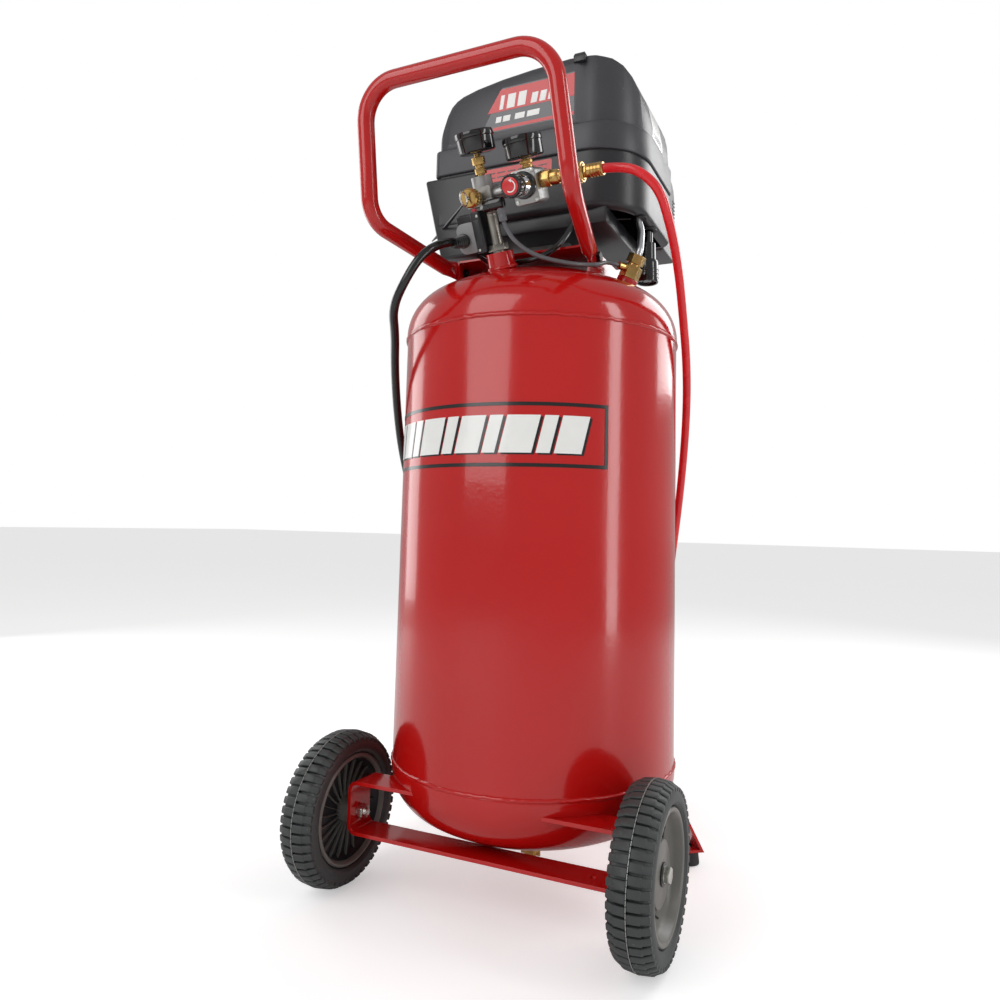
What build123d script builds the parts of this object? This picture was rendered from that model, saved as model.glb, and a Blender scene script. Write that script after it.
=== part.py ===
"""Portable upright air compressor: a 26 gallon vertical tank on two wheels and two rubber feet,
an oil-free pump under a plastic shroud, and a pressure switch and regulator group at the front.

Millimetres, +Z up, -Y is the front. The origin is on the floor, under the middle of the machine
(its hose and power cord left aside); the tank's own axis stands TANK_Y behind it.
"""
import os
from math import atan2, cos, degrees, pi, radians, sin, sqrt, tan

from build123d import *

os.makedirs("parts", exist_ok=True)

# ---------------------------------------------------------------- driving dimensions
TANK_Y = 39.0            # tank axis, behind the origin
TANK_R = 203.2           # 16 inch tank
TANK_WALL = 3.0
SEAM_LOW = 165.0         # weld seams between the shell and its heads
SEAM_HIGH = 764.0
HEAD_FLANGE = 6.0        # straight flange of a head
HEAD_RISE = 104.0        # height of a head's dome
HEAD_KNUCKLE = 72.0      # outer radius where a head bends from its flange into its crown
WHEEL_R = 101.6          # 8 inch wheel
WHEEL_WIDTH = 50.0
WHEEL_X = 219.6          # middle of the tyre
WHEEL_Y = TANK_Y - 158.0
RIM_R = 73.0
AXLE_R = 6.35
RUNNING_GAP = 0.05       # radial clearance of a turning or sliding fit
STRAP_WIDTH = 44.5
STRAP_THICK = 4.8
STRAP_HALF = 192.0
STRAP_LOW = 77.0
STRAP_HIGH = 147.0
FOOT_RADIUS = 240.0      # from the tank axis to a rear foot
FOOT_ANGLE = 35.0
FOOT_HEIGHT = 20.0
BAR = 4.0                # thickness of the rear foot brackets
SADDLE_HALF = 105.0
SADDLE_TOP = 888.0
SHEET = 3.0
TUBE_R = 11.1            # handle tube
TUBE_WALL = 1.5
SHROUD_HALF = 165.0
SHROUD_FRONT = TANK_Y - 62.0
SHROUD_BACK = TANK_Y + 150.0
SHROUD_SKIN = 3.0
SKIRT_LOW = 950.0
BELT_LOW = 1038.0
BELT_HIGH = 1080.0
SHROUD_TOP = 1184.0
REAR_BACK = TANK_Y + 225.0
SHAFT_Z = 985.0          # motor shaft, along Y over the tank axis
SHAFT_R = 8.0
THROW = 10.0             # half the piston's stroke
CRANK_Y = TANK_Y - 15.0  # plane of the connecting rod
BORE_R = 30.05
GAUGE_R = 26.5
OUTLET_Z = 949.0         # outlet fittings run along +X here
OUTLET_Y = TANK_Y - 170.0
HOSE_R = 6.0
HOSE_LENGTH = 7600.0
CORD_R = 6.0
CORD_LENGTH = 2000.0

LEFT_RIGHT = (-1, 1)


def save(part, name):
    """Labels a finished piece and writes it as its own STEP file."""
    part.label = name
    export_step(part, "parts/" + name + ".step")


def turned(profile):
    """A solid of revolution about Z from its (radius, height) corners."""
    with BuildPart() as piece:
        with BuildSketch(Plane.XZ):
            with BuildLine():
                Polyline(*profile, close=True)
            make_face()
        revolve(axis=Axis.Z)
    return piece.part


HEAD_REACH = TANK_R - HEAD_KNUCKLE       # from the axis to the middle of the knuckle's arc
HEAD_CROWN = (HEAD_REACH**2 + HEAD_RISE**2 - HEAD_KNUCKLE**2) / (2 * (HEAD_RISE - HEAD_KNUCKLE))
HEAD_BLEND = degrees(atan2(HEAD_CROWN - HEAD_RISE, HEAD_REACH))    # where crown and knuckle meet


def head_rim(radius):
    """Height of the top head's outer surface at a radius from the axis, inside its crown."""
    return SEAM_HIGH + HEAD_FLANGE + HEAD_RISE - HEAD_CROWN + sqrt(HEAD_CROWN**2 - radius**2)


# ---------------------------------------------------------------- tank
def tank_solid(inset):
    """The whole tank's outer surface (inset 0) or inner surface, as one solid of revolution."""
    low, high = SEAM_LOW - HEAD_FLANGE, SEAM_HIGH + HEAD_FLANGE
    crown_up = HEAD_RISE - HEAD_CROWN
    with BuildPart() as form:
        with BuildSketch(Plane.XZ):
            with BuildLine():
                CenterArc((HEAD_REACH, high), HEAD_KNUCKLE - inset, 0, HEAD_BLEND)
                CenterArc((0, high + crown_up), HEAD_CROWN - inset, HEAD_BLEND, 90 - HEAD_BLEND)
                Line((0, high + HEAD_RISE - inset), (0, low - HEAD_RISE + inset))
                CenterArc((0, low - crown_up), HEAD_CROWN - inset, -90, 90 - HEAD_BLEND)
                CenterArc((HEAD_REACH, low), HEAD_KNUCKLE - inset, -HEAD_BLEND, HEAD_BLEND)
                Line((TANK_R - inset, low), (TANK_R - inset, high))
            make_face()
        revolve(axis=Axis.Z)
    return Pos(0, TANK_Y, 0) * form.part


tank_form = tank_solid(0)
tank_hollow = tank_solid(TANK_WALL)

with BuildPart() as tank_shell:
    with BuildSketch(Plane.XY.offset(SEAM_LOW)):
        with Locations((0, TANK_Y)):
            Circle(TANK_R)
            Circle(TANK_R - TANK_WALL, mode=Mode.SUBTRACT)
    extrude(amount=SEAM_HIGH - SEAM_LOW)
save(tank_shell.part, "tank_shell")

with BuildPart() as tank_heads:
    add(tank_form)
    add(tank_hollow, mode=Mode.SUBTRACT)
    with Locations((0, TANK_Y, SEAM_LOW)):
        Cylinder(
            TANK_R + 5, SEAM_HIGH - SEAM_LOW, align=(Align.CENTER, Align.CENTER, Align.MIN),
            mode=Mode.SUBTRACT,
        )
save(tank_heads.part, "tank_heads")

# control group: its riser pipe stands square to the dome, so the whole group leans forward
CTRL = Plane(
    origin=(-7.5, TANK_Y - 127.4, 855.8), x_dir=(0.9977, -0.028, 0.062), z_dir=(-0.068, -0.41, 0.909)
)


def at(u, v, w):
    """A point given in the control group's leaning frame: right, back and up along the riser."""
    return CTRL.from_local_coords(Vector(u, v, w))


def ctrl_up(u, v, w):
    """A plane in the leaning frame that faces up along the riser."""
    return Plane(origin=at(u, v, w), x_dir=CTRL.x_dir, z_dir=CTRL.z_dir)


def ctrl_front(u, v, w):
    """A plane in the leaning frame that faces the user."""
    return Plane(origin=at(u, v, w), x_dir=CTRL.x_dir, z_dir=-CTRL.y_dir)


def block(low, high, mode=Mode.ADD):
    """Adds a block to the part being built, between two corners of the leaning frame."""
    size = [b - a for a, b in zip(low, high)]
    middle = [(a + b) / 2 for a, b in zip(low, high)]
    with Locations(CTRL.location * Pos(*middle)):
        Box(*size, mode=mode)


def rod(plane, radius, length, start=0.0, mode=Mode.ADD):
    """Adds a round rod to the part being built, along a plane's normal."""
    with Locations(plane.offset(start)):
        Cylinder(radius, length, align=(Align.CENTER, Align.CENTER, Align.MIN), mode=mode)


def bored(plane, radius, length, start=0.0):
    """Cuts a round hole in the part being built, along a plane's normal."""
    rod(plane, radius, length, start, Mode.SUBTRACT)


def hexagon(plane, flats, length, start=0.0):
    """Adds a hexagon bar to the part being built; flats is half its width across flats."""
    with BuildSketch(plane.offset(start)) as six:
        RegularPolygon(flats, 6, major_radius=False)
    extrude(six.sketch, amount=length)


# check valve: square to the dome near its right edge
VALVE_XY = (138.0, -18.0)
VALVE = Plane(
    origin=(VALVE_XY[0], TANK_Y + VALVE_XY[1], head_rim(sqrt(VALVE_XY[0] ** 2 + VALVE_XY[1] ** 2))),
    x_dir=(0, 1, 0),
    z_dir=(0.4295, -0.056, 0.9016),
)
RISER = ctrl_up(0, 0, 0)
PIPE_R = 8.55
DRAIN = Plane(origin=(0, TANK_Y, SEAM_LOW - HEAD_FLANGE - HEAD_RISE), z_dir=(0, 0, -1))

with BuildPart() as tank_bungs:
    for plane, outer, bore, length in ((RISER, 19, PIPE_R, 18), (VALVE, 15, 9, 8), (DRAIN, 13, 6, 10)):
        rod(plane, outer, length + 12, -12)
        bored(plane, bore + RUNNING_GAP, length, 2)
    add(tank_form, mode=Mode.SUBTRACT)
save(tank_bungs.part, "tank_bungs")

# ---------------------------------------------------------------- axle strap and wheels
STRAP_MID = (STRAP_LOW + STRAP_HIGH) / 2
STRAP_TALL = STRAP_HIGH - STRAP_LOW
STRAP_FRONT = Plane.XZ.offset(-(TANK_Y - 180.0 + STRAP_WIDTH))
AXLE = Plane(origin=(0, WHEEL_Y, WHEEL_R), x_dir=(0, 1, 0), z_dir=(1, 0, 0))

with BuildPart() as axle_strap:
    with BuildSketch(STRAP_FRONT):
        with Locations((0, STRAP_MID)):
            RectangleRounded(2 * STRAP_HALF, STRAP_TALL, 14)
            RectangleRounded(
                2 * (STRAP_HALF - STRAP_THICK), STRAP_TALL - 2 * STRAP_THICK, 9.2, mode=Mode.SUBTRACT
            )
        with Locations((0, STRAP_HIGH)):
            Rectangle(2 * 88, 3 * STRAP_THICK, mode=Mode.SUBTRACT)
    extrude(amount=STRAP_WIDTH)
    with Locations(AXLE):
        Cylinder(AXLE_R + RUNNING_GAP, 3 * STRAP_HALF, mode=Mode.SUBTRACT)
    with Locations((150, TANK_Y - 158, STRAP_LOW)):
        Cylinder(4, 4 * STRAP_THICK, mode=Mode.SUBTRACT)
    add(tank_form, mode=Mode.SUBTRACT)
save(axle_strap.part, "axle_strap")

HALF = WHEEL_WIDTH / 2
TYRE_PROFILE = [
    (RIM_R, -HALF + 4),
    (RIM_R + 10, -HALF),
    (WHEEL_R - 9, -HALF + 1),
    (WHEEL_R - 1.5, -HALF + 8),
    (WHEEL_R, -3),
    (WHEEL_R - 1.2, 0),
    (WHEEL_R, 3),
    (WHEEL_R - 1.5, HALF - 8),
    (WHEEL_R - 9, HALF - 1),
    (RIM_R + 10, HALF),
    (RIM_R, HALF - 4),
]
HUB_PROFILE = [
    (AXLE_R + RUNNING_GAP, -HALF),
    (15, -HALF),
    (17, -8),
    (62, -6),
    (66, -HALF + 4),
    (RIM_R, -HALF + 4),
    (RIM_R, HALF - 4),
    (66, HALF - 4),
    (58, 4),
    (40, 3),
    (36, 12),
    (14, 14),
    (AXLE_R + RUNNING_GAP, 14),
]
tyre_form = turned(TYRE_PROFILE)
hub_form = turned(HUB_PROFILE)


def wheel_place(side):
    """Stands a wheel piece on its axle, its outer face away from the machine."""
    return Pos(side * WHEEL_X, WHEEL_Y, WHEEL_R) * Rot(0, 90 * side, 0)


for side, word in zip(LEFT_RIGHT, ("left", "right")):
    with BuildPart() as tyre:
        add(wheel_place(side) * tyre_form)
    save(tyre.part, "tyre_" + word)
    with BuildPart() as hub:
        add(wheel_place(side) * hub_form)
    save(hub.part, "hub_" + word)

with BuildPart() as axle_bolts:
    for side in LEFT_RIGHT:
        axle = Plane(origin=(0, WHEEL_Y, WHEEL_R), x_dir=(0, 1, 0), z_dir=(side, 0, 0))
        rod(axle, AXLE_R, 61, 175)
        rod(axle, 13, 1.8, 234)
        hexagon(axle, 9.5, 7.5, 235.8)
        hexagon(axle, 9.5, 9.5, 177.6)
save(axle_bolts.part, "axle_bolts")

# ---------------------------------------------------------------- rear feet
BAR_WIDTH = 38.0
FOOT_XY = (FOOT_RADIUS * cos(radians(FOOT_ANGLE)), TANK_Y + FOOT_RADIUS * sin(radians(FOOT_ANGLE)))
FOOT_SPOTS = [(side * FOOT_XY[0], FOOT_XY[1]) for side in LEFT_RIGHT]
with BuildPart() as foot_brackets:
    for angle in (FOOT_ANGLE, 180 - FOOT_ANGLE):
        spoke = Plane(
            origin=(0, TANK_Y, 0),
            x_dir=(cos(radians(angle)), sin(radians(angle)), 0),
            z_dir=(sin(radians(angle)), -cos(radians(angle)), 0),
        )
        with BuildSketch(spoke.offset(-BAR_WIDTH / 2)) as bar_side:
            with BuildLine():
                bend = Polyline((184, 158), (255, FOOT_HEIGHT + BAR / 2), (222, FOOT_HEIGHT + BAR / 2))
                offset(bend, BAR / 2, kind=Kind.INTERSECTION)
            make_face()
        extrude(amount=BAR_WIDTH)
    with Locations(*[(x, y, FOOT_HEIGHT) for x, y in FOOT_SPOTS]):
        Cylinder(3.2, 3 * BAR, mode=Mode.SUBTRACT)
    add(tank_form, mode=Mode.SUBTRACT)
save(foot_brackets.part, "foot_brackets")

with BuildPart() as rubber_feet:
    with Locations(*[(x, y, 0) for x, y in FOOT_SPOTS]):
        Cone(17, 15, FOOT_HEIGHT, align=(Align.CENTER, Align.CENTER, Align.MIN))
        Cylinder(8, 9.2, align=(Align.CENTER, Align.CENTER, Align.MIN), mode=Mode.SUBTRACT)
        Cylinder(3.2, 3 * FOOT_HEIGHT, mode=Mode.SUBTRACT)
save(rubber_feet.part, "rubber_feet")

# ---------------------------------------------------------------- saddle and handle
SADDLE_BACK = TANK_Y + 100.0
SADDLE_FRONT = TANK_Y - 82.0
BOLT_Y = TANK_Y - 63.0
BOLT_Z = 874.0
saddle_long = SADDLE_BACK - SADDLE_FRONT
with BuildPart() as saddle_plate:
    with BuildSketch(Plane.XY.offset(SADDLE_TOP - SHEET)):
        with Locations((0, (SADDLE_BACK + SADDLE_FRONT) / 2)):
            RectangleRounded(2 * SADDLE_HALF, saddle_long, 4)
    extrude(amount=SHEET)
    for side in LEFT_RIGHT:
        with Locations((side * (SADDLE_HALF - SHEET / 2), (SADDLE_BACK + SADDLE_FRONT) / 2, SADDLE_TOP - SHEET)):
            Box(SHEET, saddle_long, 50, align=(Align.CENTER, Align.CENTER, Align.MAX))
        with Locations(Location((side * SADDLE_HALF, BOLT_Y, BOLT_Z), (0, 90, 0))):
            Cylinder(4.2, 20, mode=Mode.SUBTRACT)
    add(tank_form, mode=Mode.SUBTRACT)
save(saddle_plate.part, "saddle_plate")

HANDLE_CORNERS = [
    (112, TANK_Y - 104, 872),
    (142, TANK_Y - 252, 893),
    (131.5, TANK_Y - 292, 1055),
]
handle_points = [(-x, y, z) for x, y, z in HANDLE_CORNERS] + HANDLE_CORNERS[::-1]
TAB_THICK = 5.0
TAB_X = SADDLE_HALF + 0.3 + TAB_THICK / 2
with BuildPart() as handle_tube:
    with BuildLine() as handle_run:
        FilletPolyline(*handle_points, radius=[42, 50, 50, 42])
    with BuildSketch(Plane(origin=handle_run.line @ 0, z_dir=handle_run.line % 0)):
        Circle(TUBE_R)
        Circle(TUBE_R - TUBE_WALL, mode=Mode.SUBTRACT)
    sweep()
    for side in LEFT_RIGHT:
        start = Vector(side * 112, TANK_Y - 104, 872)
        along = Vector(side * 112, TANK_Y - 104, 872) - Vector(side * 142, TANK_Y - 252, 893)
        with BuildSketch(Plane(origin=start, z_dir=along.normalized(), x_dir=(side, 0.2, 0))) as round_end:
            Circle(TUBE_R)
        with BuildSketch(
            Plane(origin=(side * TAB_X, TANK_Y - 83, BOLT_Z), x_dir=(side, 0, 0), z_dir=(0, 1, 0))
        ) as flat_end:
            Ellipse(TAB_THICK / 2, 14)
        loft(sections=[round_end.sketch, flat_end.sketch])
        with Locations((side * TAB_X, TANK_Y - 64.5, BOLT_Z)):
            Box(TAB_THICK, 38, 26)
        with Locations(Location((side * TAB_X, BOLT_Y, BOLT_Z), (0, 90, 0))):
            Cylinder(4.2, 20, mode=Mode.SUBTRACT)
save(handle_tube.part, "handle_tube")

with BuildPart() as frame_bolts:
    for side in LEFT_RIGHT:
        across = Plane(origin=(0, BOLT_Y, BOLT_Z), x_dir=(0, 1, 0), z_dir=(side, 0, 0))
        rod(across, 4.1, 17, 96)
        hexagon(across, 6.5, 5.2, TAB_X + TAB_THICK / 2 + 0.05)
        hexagon(across, 6.5, 4, SADDLE_HALF - SHEET - 4.05)
    for x, y in FOOT_SPOTS:
        upright = Plane(origin=(x, y, 0))
        rod(upright, 3, 19, 8)
        hexagon(upright, 5, 3, 24.05)
        rod(upright, 6, 2, 7.2)
        hexagon(upright, 5, 3.4, 4)
save(frame_bolts.part, "frame_bolts")

# ---------------------------------------------------------------- controls
with BuildPart() as riser_pipe:
    rod(RISER, PIPE_R, 74, 4)
    bored(RISER, 6, 80)
save(riser_pipe.part, "riser_pipe")

VALVE_SPOT = (-8, 94)      # relief valve, across and up in the leaning frame
REG = (64, 94)             # regulator
with BuildPart() as manifold:
    rod(ctrl_up(0, 0, 78), 13, 8)
    block((-25, -15, 82), (13, 15, 106))
    rod(ctrl_up(-3, 0, 104), 14, 16)
    rod(Plane(origin=at(10, 0, 94), x_dir=CTRL.y_dir, z_dir=CTRL.x_dir), 9, 36)
    rod(ctrl_front(VALVE_SPOT[0], -14, VALVE_SPOT[1]), 8, 4)
save(manifold.part, "manifold")

LEVER = (-35, 22, 72)
with BuildPart() as switch_body:
    block((-58, 4.5, 22), (-11.5, 36, 76))
    block((-26, -14, 21), (-11.5, 5, 77.5))
    block((-51, 18.5, 56), (-18, 25.5, 80), Mode.SUBTRACT)
    rod(ctrl_front(LEVER[0], 26, LEVER[2]), 1.5, 8)
save(switch_body.part, "switch_body")

with BuildPart() as switch_lever:
    block((LEVER[0] - 3, 20, 66), (LEVER[0] + 3, 24, 92))
    bored(ctrl_front(LEVER[0], 24, LEVER[2]), 1.5 + RUNNING_GAP, 8, -2)
save(switch_lever.part, "switch_lever")

with BuildPart() as switch_plate:
    with BuildSketch(ctrl_front(-43, 4.4, 45)):
        RectangleRounded(33.5, 42, 11)
    extrude(amount=3.6)
save(switch_plate.part, "switch_plate")

GLAND = ctrl_front(-50, 0.6, 43)
with BuildPart() as cord_gland:
    with BuildSketch(GLAND):
        Circle(10)
    extrude(amount=5)
    with BuildSketch(GLAND.offset(5)) as wide:
        Circle(9.5)
    with BuildSketch(GLAND.offset(17)) as slim:
        Circle(CORD_R + 1)
    loft(sections=[wide.sketch, slim.sketch])
save(cord_gland.part, "cord_gland")

with BuildPart() as unloader_valve:
    elbow = Plane(origin=at(4, -24, 80), x_dir=CTRL.y_dir, z_dir=CTRL.x_dir)
    rod(elbow, 8.5, 28)
    rod(ctrl_front(8, -15, 84), 6, 8)
    rod(ctrl_up(27, -24, 56), 5.5, 24)
save(unloader_valve.part, "unloader_valve")

with BuildPart() as regulator_body:
    with BuildSketch(ctrl_front(REG[0], 18, REG[1] - 2)):
        RectangleRounded(36, 44, 5)
    extrude(amount=36)
save(regulator_body.part, "regulator_body")

STEM_R = 4.0
with BuildPart() as regulator_bonnet:
    front = ctrl_front(REG[0], 0, REG[1])
    rod(front, 17.5, 7, 18)
    rod(front, 14, 22, 24)
    rod(front, STEM_R, 12, 46)
save(regulator_bonnet.part, "regulator_bonnet")

with BuildPart() as regulator_knob:
    rod(front, 15, 17, 46.5)
    bored(front, STEM_R + RUNNING_GAP, 13, 46)
save(regulator_knob.part, "regulator_knob")

with BuildPart() as knob_cap:
    rod(front, 11, 2, 63.5)
save(knob_cap.part, "knob_cap")

# gauges: across, height of the case's base, angle of the needle
GAUGES = {"tank": (0, 150), "outlet": (66, 128)}
CASE_DEEP = 27.0
DIAL_UP = 21.0
with BuildPart() as gauge_cases:
    for u, w in GAUGES.values():
        base = ctrl_up(u, 0, w)
        rod(base, GAUGE_R, CASE_DEEP)
        bored(base, GAUGE_R - 1.8, CASE_DEEP, 2)
save(gauge_cases.part, "gauge_cases")

with BuildPart() as gauge_dials:
    for u, w in GAUGES.values():
        base = ctrl_up(u, 0, w)
        rod(base, GAUGE_R - 1.9, 1, DIAL_UP)
        bored(base, 1.5 + RUNNING_GAP, 4, DIAL_UP - 1)
save(gauge_dials.part, "gauge_dials")

with BuildPart() as gauge_lenses:
    for u, w in GAUGES.values():
        rod(ctrl_up(u, 0, w), GAUGE_R - 1.9, 1.5, CASE_DEEP - 2)
save(gauge_lenses.part, "gauge_lenses")

NEEDLE_REST = 225.0      # zero mark, degrees from the right, seen from above the dial
for word, (u, w) in GAUGES.items():
    with BuildPart() as needle:
        hub_plane = ctrl_up(u, 0, w)
        rod(hub_plane, 1.5, 5.5, DIAL_UP - 3.1)
        with Locations(hub_plane.location * Rot(0, 0, NEEDLE_REST) * Pos(6.5, 0, DIAL_UP + 2)):
            Box(25, 1.3, 0.8)
    save(needle.part, "needle_" + word)

with BuildPart() as brass_fittings:
    for (u, w), foot in zip(GAUGES.values(), (120, 114)):
        stem = ctrl_up(u if u else -1.5, 0, foot)
        rod(stem, 4.5, w - foot)
        hexagon(stem, 7, (w - foot) / 4, (w - foot) / 10)
        hexagon(stem, 8, (w - foot) / 3, (w - foot) / 2)
    outlet = Plane(origin=(65, OUTLET_Y, OUTLET_Z), x_dir=(0, 1, 0), z_dir=(1, 0, 0))
    rod(outlet, 8, 32)
    hexagon(outlet, 10.5, 24, 4)
    rod(DRAIN, 6, 14, 3)
    hexagon(DRAIN, 8, 8, 10.5)
    rod(DRAIN, 3, 30, 4)
save(brass_fittings.part, "brass_fittings")

with BuildPart() as drain_knob:
    with Locations(DRAIN.location * Pos(0, 0, 28)):
        Box(30, 3, 8)
    rod(DRAIN, 9, 8, 24)
    bored(DRAIN, 3 + RUNNING_GAP, 12, 23)
save(drain_knob.part, "drain_knob")

relief_front = ctrl_front(VALVE_SPOT[0], -18, VALVE_SPOT[1])
with BuildPart() as relief_valve:
    hexagon(relief_front, 9, 10)
    rod(relief_front, 12.5, 14, 10)
    bored(relief_front, 1.6 + RUNNING_GAP, 30, 6)
save(relief_valve.part, "relief_valve")

with BuildPart() as relief_ring:
    rod(relief_front, 1.6, 21, 8)
    with Locations(relief_front.location * Pos(0, 0, 37.5) * Rot(0, 90, 0)):
        Torus(9, 1.3)
save(relief_ring.part, "relief_ring")

outlet_end = Plane(origin=(95, OUTLET_Y, OUTLET_Z), x_dir=(0, 1, 0), z_dir=(1, 0, 0))
with BuildPart() as coupler_body:
    hexagon(outlet_end, 10.5, 6, 2.1)
    rod(outlet_end, 10.9, 26, 7)
    bored(outlet_end, 6.5, 24, 11)
save(coupler_body.part, "coupler_body")

with BuildPart() as coupler_sleeve:
    rod(outlet_end, 13.5, 17, 14.5)
    bored(outlet_end, 10.9 + RUNNING_GAP, 20, 13)
save(coupler_sleeve.part, "coupler_sleeve")

with BuildPart() as hose_plug:
    rod(outlet_end, 6.4, 20, 14)
    rod(outlet_end, 8, 5, 33.2)
    rod(outlet_end, 9, 22, 37)
save(hose_plug.part, "hose_plug")
PLUG_END = outlet_end.origin.X + 37 + 22

# ---------------------------------------------------------------- pump and motor, under the shroud
SHAFT = Plane(origin=(0, TANK_Y, SHAFT_Z), x_dir=(1, 0, 0), z_dir=(0, 1, 0))


def on_shaft(radius, start, length, mode=Mode.ADD):
    """Adds a disc or rod round the motor shaft; start is measured back from the tank axis."""
    rod(SHAFT, radius, length, start, mode)


BEARING_R = 17.5
with BuildPart() as pump_frame:
    with Locations((0, TANK_Y + 32, SADDLE_TOP)):
        Box(150, 170, 6, align=(Align.CENTER, Align.CENTER, Align.MIN))
    for start in (8, 110):
        with Locations((0, TANK_Y + start + 6, SADDLE_TOP + 4)):
            Box(76, 12, 132, align=(Align.CENTER, Align.CENTER, Align.MIN))
    with Locations((0, TANK_Y + 66, SADDLE_TOP + 4)):
        Box(70, 50, 44, align=(Align.CENTER, Align.CENTER, Align.MIN))
    with Locations((0, CRANK_Y, SHAFT_Z + 48)):
        Box(84, 78, 8, align=(Align.CENTER, Align.CENTER, Align.MIN))
    for side in LEFT_RIGHT:
        with Locations((side * 38, TANK_Y - 10, SHAFT_Z + 49)):
            Box(8, 60, 74, align=(Align.CENTER, Align.CENTER, Align.MAX))
    on_shaft(62.1, 30, 72, Mode.SUBTRACT)
    on_shaft(BEARING_R + 0.02, 0, 130, Mode.SUBTRACT)
    with Locations((0, CRANK_Y, SHAFT_Z + 50)):
        Cylinder(BORE_R + 0.5, 30, mode=Mode.SUBTRACT)
save(pump_frame.part, "pump_frame")

with BuildPart() as motor_stator:
    on_shaft(62, 34, 64)
    on_shaft(52, 24, 84)
    on_shaft(32.5, 20, 92, Mode.SUBTRACT)
save(motor_stator.part, "motor_stator")

with BuildPart() as shaft_bearings:
    for start in (8, 110):
        on_shaft(BEARING_R, start, 12)
        on_shaft(SHAFT_R + RUNNING_GAP, start - 1, 14, Mode.SUBTRACT)
save(shaft_bearings.part, "shaft_bearings")

with BuildPart() as motor_rotor:
    on_shaft(SHAFT_R, -6, 149)
    on_shaft(31.5, 34, 64)
    with Locations(SHAFT.offset(-6).location * Pos(0, -THROW, 0)):
        Cylinder(20, 11, align=(Align.CENTER, Align.CENTER, Align.MIN))
save(motor_rotor.part, "motor_rotor")

with BuildPart() as cooling_fan:
    on_shaft(16, 125, 18)
    on_shaft(58, 125, 2)
    with Locations(SHAFT.offset(134)):
        with PolarLocations(36, 9):
            Box(42, 2, 17, rotation=(28, 0, 0))
    on_shaft(58, 125, 18, Mode.INTERSECT)
    on_shaft(SHAFT_R, 120, 40, Mode.SUBTRACT)
save(cooling_fan.part, "cooling_fan")

PISTON_Z = SHAFT_Z + 92
ROD_Y = -22              # front face of the rod, from the tank axis
with BuildPart() as piston_rod:
    on_shaft(24, ROD_Y, 13.5)
    on_shaft(17, ROD_Y - 1, 20, Mode.SUBTRACT)
    with Locations((0, CRANK_Y, SHAFT_Z + 22)):
        Box(16, 12, 64, align=(Align.CENTER, Align.CENTER, Align.MIN))
    with Locations((0, CRANK_Y, PISTON_Z)):
        Cylinder(BORE_R - RUNNING_GAP, 13)
save(piston_rod.part, "piston_rod")

with BuildPart() as pump_cylinder:
    with Locations((0, CRANK_Y, SHAFT_Z + 56)):
        Cylinder(34, 54, align=(Align.CENTER, Align.CENTER, Align.MIN))
    for step in range(6):
        with Locations((0, CRANK_Y, SHAFT_Z + 60 + 9 * step)):
            Cylinder(37, 2.5, align=(Align.CENTER, Align.CENTER, Align.MIN))
    with Locations((0, CRANK_Y, SHAFT_Z + 50)):
        Cylinder(BORE_R, 80, align=(Align.CENTER, Align.CENTER, Align.MIN), mode=Mode.SUBTRACT)
save(pump_cylinder.part, "pump_cylinder")

HEAD_LOW = SHAFT_Z + 110
with BuildPart() as cylinder_head:
    with Locations((0, CRANK_Y, HEAD_LOW)):
        Box(78, 78, 14, align=(Align.CENTER, Align.CENTER, Align.MIN))
    for step in range(7):
        with Locations((0, CRANK_Y - 33 + 11 * step, HEAD_LOW + 13)):
            Box(70, 3, 16, align=(Align.CENTER, Align.CENTER, Align.MIN))
save(cylinder_head.part, "cylinder_head")

with BuildPart() as check_valve:
    rod(VALVE, 9, 28, 4)
    hexagon(VALVE, 13, 18, 8.5)
    hexagon(VALVE, 11.5, 13, 30)
    side_port = Plane(origin=VALVE.from_local_coords((0, 0, 22)), x_dir=(0, 0, 1), z_dir=(-0.62, -0.78, 0.1))
    rod(side_port, 5.5, 23)
    bored(VALVE, 5.1, 20, 36.5)
save(check_valve.part, "check_valve")


def bent_tube(points, radii, tube_r, bore=0.0):
    """A tube along straight runs and tangent arcs."""
    with BuildPart() as tube:
        with BuildLine() as run:
            FilletPolyline(*points, radius=radii)
        path = run.wire()
        with BuildSketch(Plane(origin=path @ 0, z_dir=path % 0)):
            Circle(tube_r)
            if bore:
                Circle(bore, mode=Mode.SUBTRACT)
        sweep()
    expected = pi * (tube_r**2 - bore**2) * path.length
    print("  tube volume / section x length =", round(tube.part.volume / expected, 4))
    return tube.part, path.length


def soft_radii(points):
    """The largest arcs that a free cord's runs allow, one for each corner."""
    radii = []
    for a, b, c in zip(points, points[1:], points[2:]):
        first, second = Vector(*b) - Vector(*a), Vector(*c) - Vector(*b)
        turn = radians(first.get_angle(second))
        radii.append(0.45 * min(first.length, second.length) / tan(turn / 2))
    return radii


transfer_points = [
    tuple(VALVE.from_local_coords((0, 0, 37))),
    tuple(VALVE.from_local_coords((0, 0, 51))),
    (155, TANK_Y + 2, 930),
    (132, TANK_Y + 12, 1000),
    (96, TANK_Y - 2, 1068),
    (66, TANK_Y - 15, 1102),
    (39, TANK_Y - 15, 1102),
]
with BuildPart() as transfer_tube:
    add(bent_tube(transfer_points, [14, 40, 60, 50, 22], 5.0, 3.8)[0])
save(transfer_tube.part, "transfer_tube")

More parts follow.
